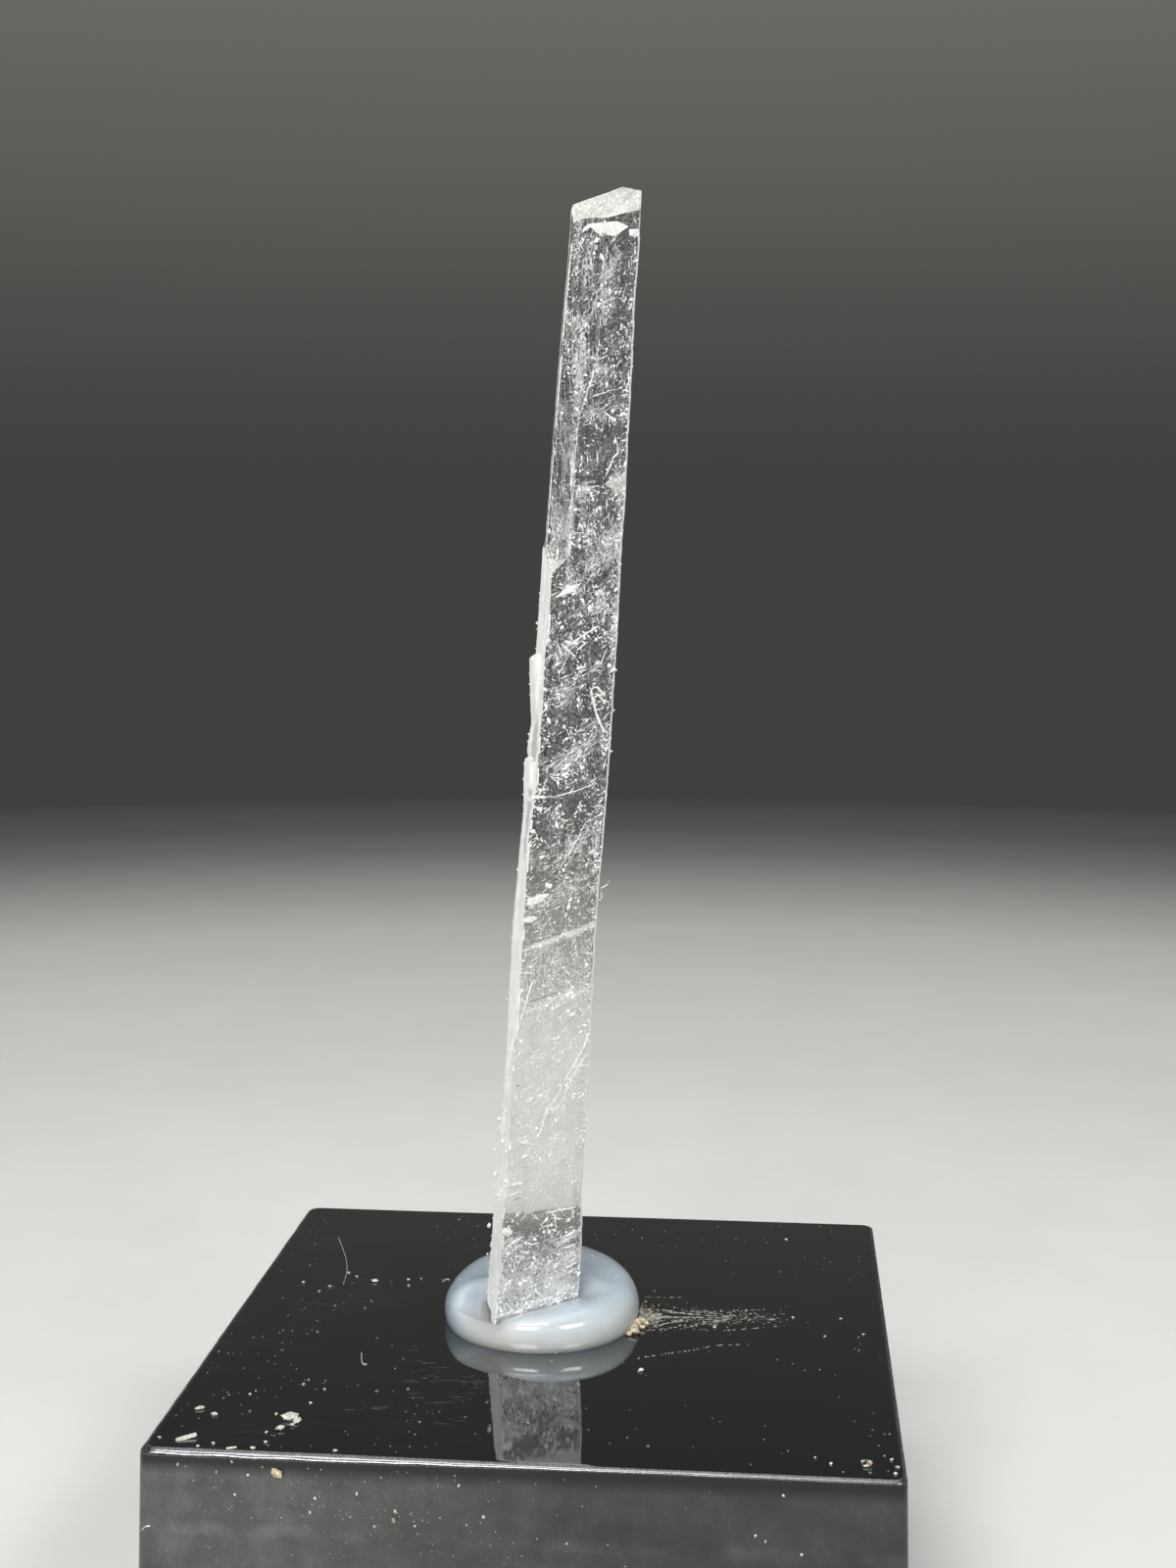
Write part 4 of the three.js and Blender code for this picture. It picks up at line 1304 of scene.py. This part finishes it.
# Specks on the block's front face, as (x, height over the top face, size).
FRONT_SPECKS = [
    (-8.47, -0.36, 0.1), (-7.5, -0.52, 0.1), (-7.1, -0.23, 0.09), (-6.69, -0.56, 0.1),
    (-7.04, -1.08, 0.09), (-5.01, -1.08, 0.11), (-3.96, -0.91, 0.12), (-5.14, -1.44, 0.1),
    (-4.13, -1.52, 0.09), (-3.52, -1.72, 0.09), (-3.0, -1.32, 0.11), (-2.52, -1.67, 0.09),
    (-1.42, -0.59, 0.1), (-0.81, -1.36, 0.11), (-1.23, -1.58, 0.09), (1.24, -1.94, 0.09),
    (5.85, -1.51, 0.1), (6.09, -1.65, 0.09), (6.5, -0.47, 0.09), (6.97, -1.93, 0.1),
]
FRONT_TAN = [(-6.0, -0.47, 0.33), (-3.05, -1.54, 0.14)]
# Fine scratches on the top face, as [(x, y), ...].
TOP_SCRATCHES = [
    [(2.69, -0.55), (3.82, -0.06), (4.96, 0.58)], [(4.76, -0.34), (5.6, -0.1), (6.38, 0.16)],
    [(2.51, -2.58), (3.02, -2.32), (3.95, -1.87), (4.7, -1.44), (5.55, -1.29)],
    [(2.32, 2.06), (2.9, 2.1), (3.46, 2.17)], [(2.9, 0.2), (4.2, 0.55), (5.6, 1.05)],
    [(3.1, 0.9), (4.4, 1.1), (6.1, 1.45)],
]
# Fibres that lie on the top, as (width, [(x, y), ...]).
TOP_FIBRES = [
    (0.018, [(-7.87, 6.51), (-7.55, 5.59), (-7.17, 4.44), (-6.91, 3.32), (-6.78, 2.14)]),
    (0.024, [(-5.18, -2.92), (-5.08, -3.4), (-4.98, -3.74), (-4.85, -3.77)]),
    (0.03, [(-3.83, 2.68), (-3.75, 2.94), (-3.63, 2.91)]),
]
# A fibre on the block's front face as (x, height), and one off the crystal's edge as (u, height).
FRONT_FIBRE = [(-9.42, -2.13), (-9.32, -2.02), (-9.19, -1.99)]
EDGE_FIBRE = [
    (3.47, 12.97), (3.4, 12.84), (3.2, 12.74), (3.22, 12.63), (3.22, 12.45), (3.12, 12.41),
]
# How many grains are tried over the top, on the front face, in the trail and as brush scratches.
TOP_DUST, FRONT_DUST, TRAIL_DUST, BRUSH_STROKES = 1500, 260, 1700, 560
# Dust grains on a millimetre of scratch.
SCRATCH_DUST = 11
# How far from the block's middle dust lies, and the patch of brush scratches, from and to an x
# and from and to a y.
DUSTY = 9.2
BRUSH_X, BRUSH_Y = (-5.6, -1.4), (-7.4, -1.4)
# The fan of dust at the glue's right, from and to an x.
TRAIL_START, TRAIL_END = 2.35, 6.6
# Steps from one point of a fibre to the next.
HAIR_STEPS = 6


def front_y(z):
    """The front face's y at a height."""
    return -(HALF_TOP - z * DRAFT)


def hair(pile, points, width):
    """A fibre through (x, y, z) points, rounded off by adding points between them."""
    points = [np.array(p, float) for p in points]
    ends = [points[0]] + points + [points[-1]]
    dense = []
    for p0, p1, p2, p3 in zip(ends, ends[1:], ends[2:], ends[3:]):
        for t in (step / HAIR_STEPS for step in range(HAIR_STEPS)):
            dense.append(
                0.5 * (2 * p1 + (p2 - p0) * t + (2 * p0 - 5 * p1 + 4 * p2 - p3) * t * t
                       + (3 * p1 - p0 - 3 * p2 + p3) * t ** 3)
            )
    dense.append(points[-1])
    pile.ridge(dense, [UP + 0.3 * V_AXIS] * len(dense), [width] * len(dense), width * 0.8)


def loose_fibres(material):
    pile = Pile()
    for width, points in TOP_FIBRES:
        hair(pile, [(x, y, 0.012) for x, y in points], width)
    hair(pile, [(x, front_y(z) - 0.02, z) for x, z in FRONT_FIBRE], 0.035)
    hair(pile, [on_crystal(u, 0.1, z) for u, z in EDGE_FIBRE], 0.04)
    pile.make("loose_fibres", material)


def lay_flake(pile, rng, x, y, length, width, turn):
    """A flake of mineral on the top: a rod if it is thin, or else a grain with crumbs round it."""
    along = np.array([math.cos(math.radians(turn)), math.sin(math.radians(turn)), 0.12])
    across = np.cross(UP, along)
    if length > 3 * width:
        rod = [np.array((x, y, 0.01)) + along * length * t for t in (-0.5, -0.42, 0.42, 0.5)]
        pile.ridge(rod, [UP] * 4, [width * 0.8] * 4, width * 0.6)
        return
    pile.grain((x, y, width * 0.3), width * 1.3, rng, (length / width, 0.9, 0.6),
               math.radians(turn))
    for _ in range(5):
        aside = along * rng.uniform(-0.3, 0.3) * length + across * rng.uniform(-0.3, 0.3) * width
        pile.grain((x + aside[0], y + aside[1], width * 0.25), width * rng.uniform(0.4, 0.8),
                   rng, (1.2, 0.9, 0.7))


def dust_film(pile, rng):
    """Fine dust over the block's top, thickest in front and to the left, and on its front face."""
    for _ in range(TOP_DUST):
        x, y = rng.uniform(-DUSTY, DUSTY), rng.uniform(-DUSTY, DUSTY)
        thick = 0.25 + 0.75 * smooth(2.0, -7.0, x) * smooth(6.0, -2.0, y)
        thick += 0.5 * smooth(-6.5, -8.5, y) + 0.3 * smooth(6.5, 9, x)
        if rng.random() < thick * (0.35 + 0.9 * wobble(x, y, 0, 2.1, 61)):
            size = min(0.09, 0.028 * math.exp(abs(rng.gauss(0, 0.45))))
            pile.grain((x, y, size * 0.2), size, rng, (1.2, 1, 0.5))
    for _ in range(FRONT_DUST):
        x, z = rng.gauss(-4.2, 2.8), rng.uniform(-2.6, -0.3)
        if abs(x) < DUSTY:
            size = rng.uniform(0.025, 0.055)
            pile.grain((x, front_y(z) - size * 0.1, z), size, rng, (1, 0.4, 1))


def dust_trail(dust, tans, rng):
    """The fan of dust that was brushed out of the glue's right side, in rows that draw together."""
    for _ in range(TRAIL_DUST):
        t = rng.random() ** 2.1
        row = rng.gauss(0, 0.85)
        row = round(row * 5 * t) / (5 * t) if t > 0.15 else row
        y = 0.45 + 0.40 * t + row * 0.50 * (1 - 0.4 * t) + rng.gauss(0, 0.03)
        size = min(0.15, 0.022 * math.exp(abs(rng.gauss(0, 0.6)))) * (1 - 0.6 * t)
        if rng.random() < 0.75 * t:
            continue
        target = tans if rng.random() < 0.3 - t else dust
        target.grain((TRAIL_START + (TRAIL_END - TRAIL_START) * t, y, size * 0.2), size, rng,
                     (1.2 + 3.5 * t, 0.8, 0.5), rng.gauss(0.1, 0.15))


def scratch_dust(pile, rng):
    """Grains caught along the fine scratches of the top."""
    for points in TOP_SCRATCHES:
        for start, end in zip(points, points[1:]):
            for _ in range(int(math.dist(start, end) * SCRATCH_DUST)):
                x, y = between(start, end, rng.random())
                size = rng.uniform(0.03, 0.07)
                pile.grain((x, y + rng.gauss(0, 0.015), 0.006), size, rng, (1.8, 0.8, 0.4))


def brush_scratches(pile, rng):
    """A patch of short fine scratches in front of the glue, to its left."""
    for _ in range(BRUSH_STROKES):
        x, y = rng.uniform(*BRUSH_X), rng.uniform(*BRUSH_Y)
        bare = 0.45 + 0.5 * smooth(-3.0, -5.0, x) + 0.3 * smooth(-4, -2, y)
        if wobble(x, y, 0, 0.7, 63) + 0.5 * rng.random() > bare:
            turn = math.radians(rng.gauss(-3, 2))
            along = np.array([math.cos(turn), math.sin(turn), 0.0])
            pile.shard((x, y, 0.002), along, np.cross(UP, along), UP,
                       0.08 + 0.5 * rng.random() ** 2, rng.uniform(0.006, 0.012), 0.008)


def block_dust(pale, grey, tan, fibre, rubbed):
    """Everything loose on the block, from dust to flakes and fibres, and its fine scratches."""
    rng = random.Random(21)
    crumbs, dust, tans, scratches = (Pile() for _ in range(4))
    for x, y, size in TOP_SPECKS:
        crumbs.grain((x, y, size * 0.18), size, rng, (1.2, 0.9, 0.5))
    for flake in TOP_FLAKES:
        lay_flake(crumbs, rng, *flake)
    for x, z, size in FRONT_SPECKS:
        crumbs.grain((x, front_y(z) - size * 0.1, z), size, rng, (1, 0.5, 1))
    for x, y, size in TAN_CRUMBS:
        tans.grain((x, y, size * 0.4), size * 1.25, rng, (1.1, 1, 0.9))
    for x, z, size in FRONT_TAN:
        tans.grain((x, front_y(z) - size * 0.08, z), size * 1.2, rng, (1.1, 0.4, 0.8))
    dust_film(dust, rng)
    dust_trail(dust, tans, rng)
    scratch_dust(dust, rng)
    brush_scratches(scratches, rng)
    crumbs.make("block_crumbs", pale)
    dust.make("block_dust", grey)
    tans.make("block_tan_crumbs", tan)
    loose_fibres(fibre)
    scratches.make("block_scratches", rubbed, "black_plastic")


# Specks stuck to the glue, as (x, y, size).
GLUE_SPECKS = [
    (-2.5, -1.6, 0.06), (1.67, 0.57, 0.07), (0.85, 1.71, 0.09), (1.95, -0.5, 0.08),
    (1.5, -0.9, 0.05), (-1.9, 1.2, 0.05), (1.2, 1.5, 0.05), (-2.9, 0.3, 0.05), (1.8, 1.0, 0.05),
    (-1.75, -1.45, 0.09), (-1.8, -1.2, 0.06), (-1.72, -1.0, 0.05), (0.9, -1.2, 0.05),
]
# Smaller specks that are scattered over the glue, and how far from its middle.
LOOSE_SPECKS, SPECK_REACH = 26, 2.2
# The height over the block's top from which a ray looks down for the glue.
RAY_HEIGHT = 4


def glue_specks(dab, material):
    rng = random.Random(33)
    pile = Pile()
    places = GLUE_SPECKS + [
        (*(mid + rng.uniform(-SPECK_REACH, SPECK_REACH) for mid in GLUE_MIDDLE), 0.035)
        for _ in range(LOOSE_SPECKS)
    ]
    for x, y, size in places:
        start = Vector(to_metres([(x, y, RAY_HEIGHT)])[0])
        hit, where, _, _ = dab.ray_cast(start, Vector((0, 0, -1)))
        if hit and crystal_gap(x, y)[0] > 0.05:
            z = where.z / MM - TOP
            pile.grain((x, y, z + size * 0.2), size, rng, (1, 1, 0.7))
    pile.make("glue_specks", material)


# ---- build ----

# The clear minerals' numbers are haze and the streaks up and across, and the white ones' are
# transmission, grain, streak and contrast.
crystal_body([
    clear_material("nifontovite_clear", 0.225, 0.3, 0.25),
    clear_material("nifontovite_hazy", 0.46, 0.3, 0.3),
    clear_material("nifontovite_veil", 0.72, 0.4, 0.3),
    clear_material("nifontovite_scar", 0.27, 0.95, 0.0),
    clear_material("nifontovite_low", 0.50, 0.35, 0.4, 0.98, 0.32),
    clear_material("nifontovite_back", 0.18, 0.4, 0.3),
    frost_material("nifontovite_side", (0.98, 0.985, 0.96), 0.0, 0.05, 10, 0.7),
    frost_material("nifontovite_break", (0.96, 0.96, 0.93), 0.05, 0.05, 2, 0.7),
    frost_material("nifontovite_tip", (0.685, 0.67, 0.63), 0.05, 0.07, 1, 0.42),
    frost_material("nifontovite_core", (0.68, 0.70, 0.69), 0.1, 0.05, 10, 0.7),
])
# The numbers after a speck's colour are dark share, roughness and, for some, transmission.
fleck_white = speck_material("nifontovite_flecks", (0.98, 0.99, 0.97), 0.6, 0.35)
surface_marks(
    speck_material("nifontovite_chips_and_glints", (0.86, 0.87, 0.84), 0.64, 0.4),
    speck_material("nifontovite_pale", (0.95, 0.97, 0.94), 0.45, 0.45, 0.45),
    speck_material("nifontovite_shadow", (0.20, 0.21, 0.20), 0.7, 0.5),
)
veil_strokes(speck_material("nifontovite_splinters", (0.92, 0.95, 0.94), 0.5, 0.4, 0.35))
surface_flecks(fleck_white)
edge_nubs(fleck_white)
# The glue's colours: the painted glow low on the rim, the bluer body higher up, and the painted
# shade at the left end.
dab = glue_dab(glue_material("mounting_glue", (0.56, 0.585, 0.575), (0.41, 0.47, 0.525),
                             (0.33, 0.385, 0.435)))
cut_foot(dab)
glue_specks(dab, speck_material("glue_dust", (0.9, 0.92, 0.95), 0.25, 0.5))
block_body([
    block_side_material("block_sides", (0.006, 0.006, 0.0065), (0.173, 0.175, 0.168)),
    edge_wear_and_highlight_material("edge_wear_and_painted_highlight", (0.012, 0.013, 0.015), (0.10, 0.10, 0.11)),
    block_top_material("polished_black", (0.003, 0.0034, 0.0036), (0.10, 0.102, 0.10)),
])
block_dust(
    speck_material("pale_crumbs", (0.70, 0.68, 0.60), 0.45, 0.5),
    speck_material("grey_dust", (0.42, 0.41, 0.37), 0.4, 0.6),
    speck_material("tan_crumbs", (0.72, 0.62, 0.42), 0.35, 0.5, 0.1),
    speck_material("fibre", (0.70, 0.69, 0.64), 0.6, 0.5),
    speck_material("rubbed_black", (0.11, 0.11, 0.105), 0.3, 0.4),
)

# ---- stage, lights and camera ----

# Radii of the floor's rings, and corners in each; metres.
FLOOR_RINGS = [FLOOR_REACH, 0.15, 0.1, 0.06, 0.02]
FLOOR_STEPS = 160


def stage_floor():
    """A plain round table top, level with the block's underside."""
    mesh = bpy.data.meshes.new("floor")
    angles = [2 * math.pi * i / FLOOR_STEPS for i in range(FLOOR_STEPS)]
    verts = [(r * math.cos(a), r * math.sin(a), 0) for r in FLOOR_RINGS for a in angles]
    faces = ring_faces(len(FLOOR_RINGS), FLOOR_STEPS)
    mesh.from_pydata(verts, [], faces + end_faces(len(FLOOR_RINGS), FLOOR_STEPS)[1:])
    mesh.materials.append(floor_material())
    add_object("floor", mesh)


# Where the lights point, in metres.
LIT_POINT = Vector((0, 0, 0.022))
# The lights as (name, place, size, power, colour); metres and watts.
LIGHTS = [
    ("key_left", (-0.055, -0.215, 0.18), (0.10, 0.06), 0.42, (1.0, 0.99, 0.97)),
    ("key_right", (0.16, -0.17, 0.20), (0.10, 0.06), 0.42, (0.98, 0.99, 1.0)),
    ("top", (0.0, 0.02, 0.26), (0.2, 0.2), 0.20, (1.0, 1.0, 1.0)),
    ("front_top", (-0.03, -0.10, 0.23), (0.12, 0.05), 0.20, (0.96, 0.97, 1.0)),
    ("left", (-0.15, -0.13, 0.035), (0.07, 0.07), 0.085, (0.98, 0.99, 1.0)),
]


def add_lights():
    for name, place, size, power, colour in LIGHTS:
        light = bpy.data.lights.new(name, "AREA")
        light.shape = "RECTANGLE"
        light.size, light.size_y = size
        light.energy = power
        light.color = colour
        obj = add_object(name, light)
        obj.location = place
        obj.rotation_euler = (LIT_POINT - Vector(place)).to_track_quat("-Z", "Y").to_euler()
        # The low fill light would stand as a bright square in the block's polished top.
        obj.visible_glossy = name != "left"


def studio_world():
    """A plain dark grey surround, a little lighter in a band above the table's edge."""
    world = bpy.data.worlds.new("studio")
    bpy.context.scene.world = world
    world.use_nodes = True
    t = Tree(world.node_tree)
    way = t.node("ShaderNodeTexCoord").outputs["Generated"]
    height = t.node("ShaderNodeSeparateXYZ", {"Vector": way}).outputs["Z"]
    light = t.times(t.ramp(height, 0.02, 0.30, interpolation_type="SMOOTHSTEP"),
                    t.ramp(height, 0.25, 0.42, 1.0, 0.2))
    t.link(t.colours(light, (0.052, 0.053, 0.050), (0.150, 0.147, 0.137)),
           t.tree.nodes["Background"].inputs["Color"])


# Where the photograph's camera stood, worked out from the block's four top corners, over the
# block's top. Its turns are in degrees, and its focal length is in pixels of its frame's height.
CAMERA_MM = (6.042, -57.057, 22.287)
CAMERA_YAW, CAMERA_PITCH, CAMERA_ROLL = -5.21, 6.57, 0.18
FOCAL_PIXELS, FRAME_HEIGHT = 2092.0, 1600.0


def add_camera():
    data = bpy.data.cameras.new("camera")
    data.sensor_fit = "VERTICAL"
    data.sensor_height = 36.0
    data.lens = FOCAL_PIXELS / FRAME_HEIGHT * data.sensor_height
    data.clip_start, data.clip_end = 0.001, 10
    obj = add_object("camera", data)
    obj.matrix_world = Matrix.Translation(to_metres([CAMERA_MM])[0])
    for angle, axis in ((-CAMERA_YAW, "Z"), (90 - CAMERA_PITCH, "X"), (CAMERA_ROLL, "Z")):
        obj.matrix_world = obj.matrix_world @ Matrix.Rotation(math.radians(angle), 4, axis)
    bpy.context.scene.camera = obj


stage_floor()
add_lights()
studio_world()
add_camera()
bpy.context.scene.view_settings.view_transform = "Standard"
bpy.context.scene.view_settings.look = "None"
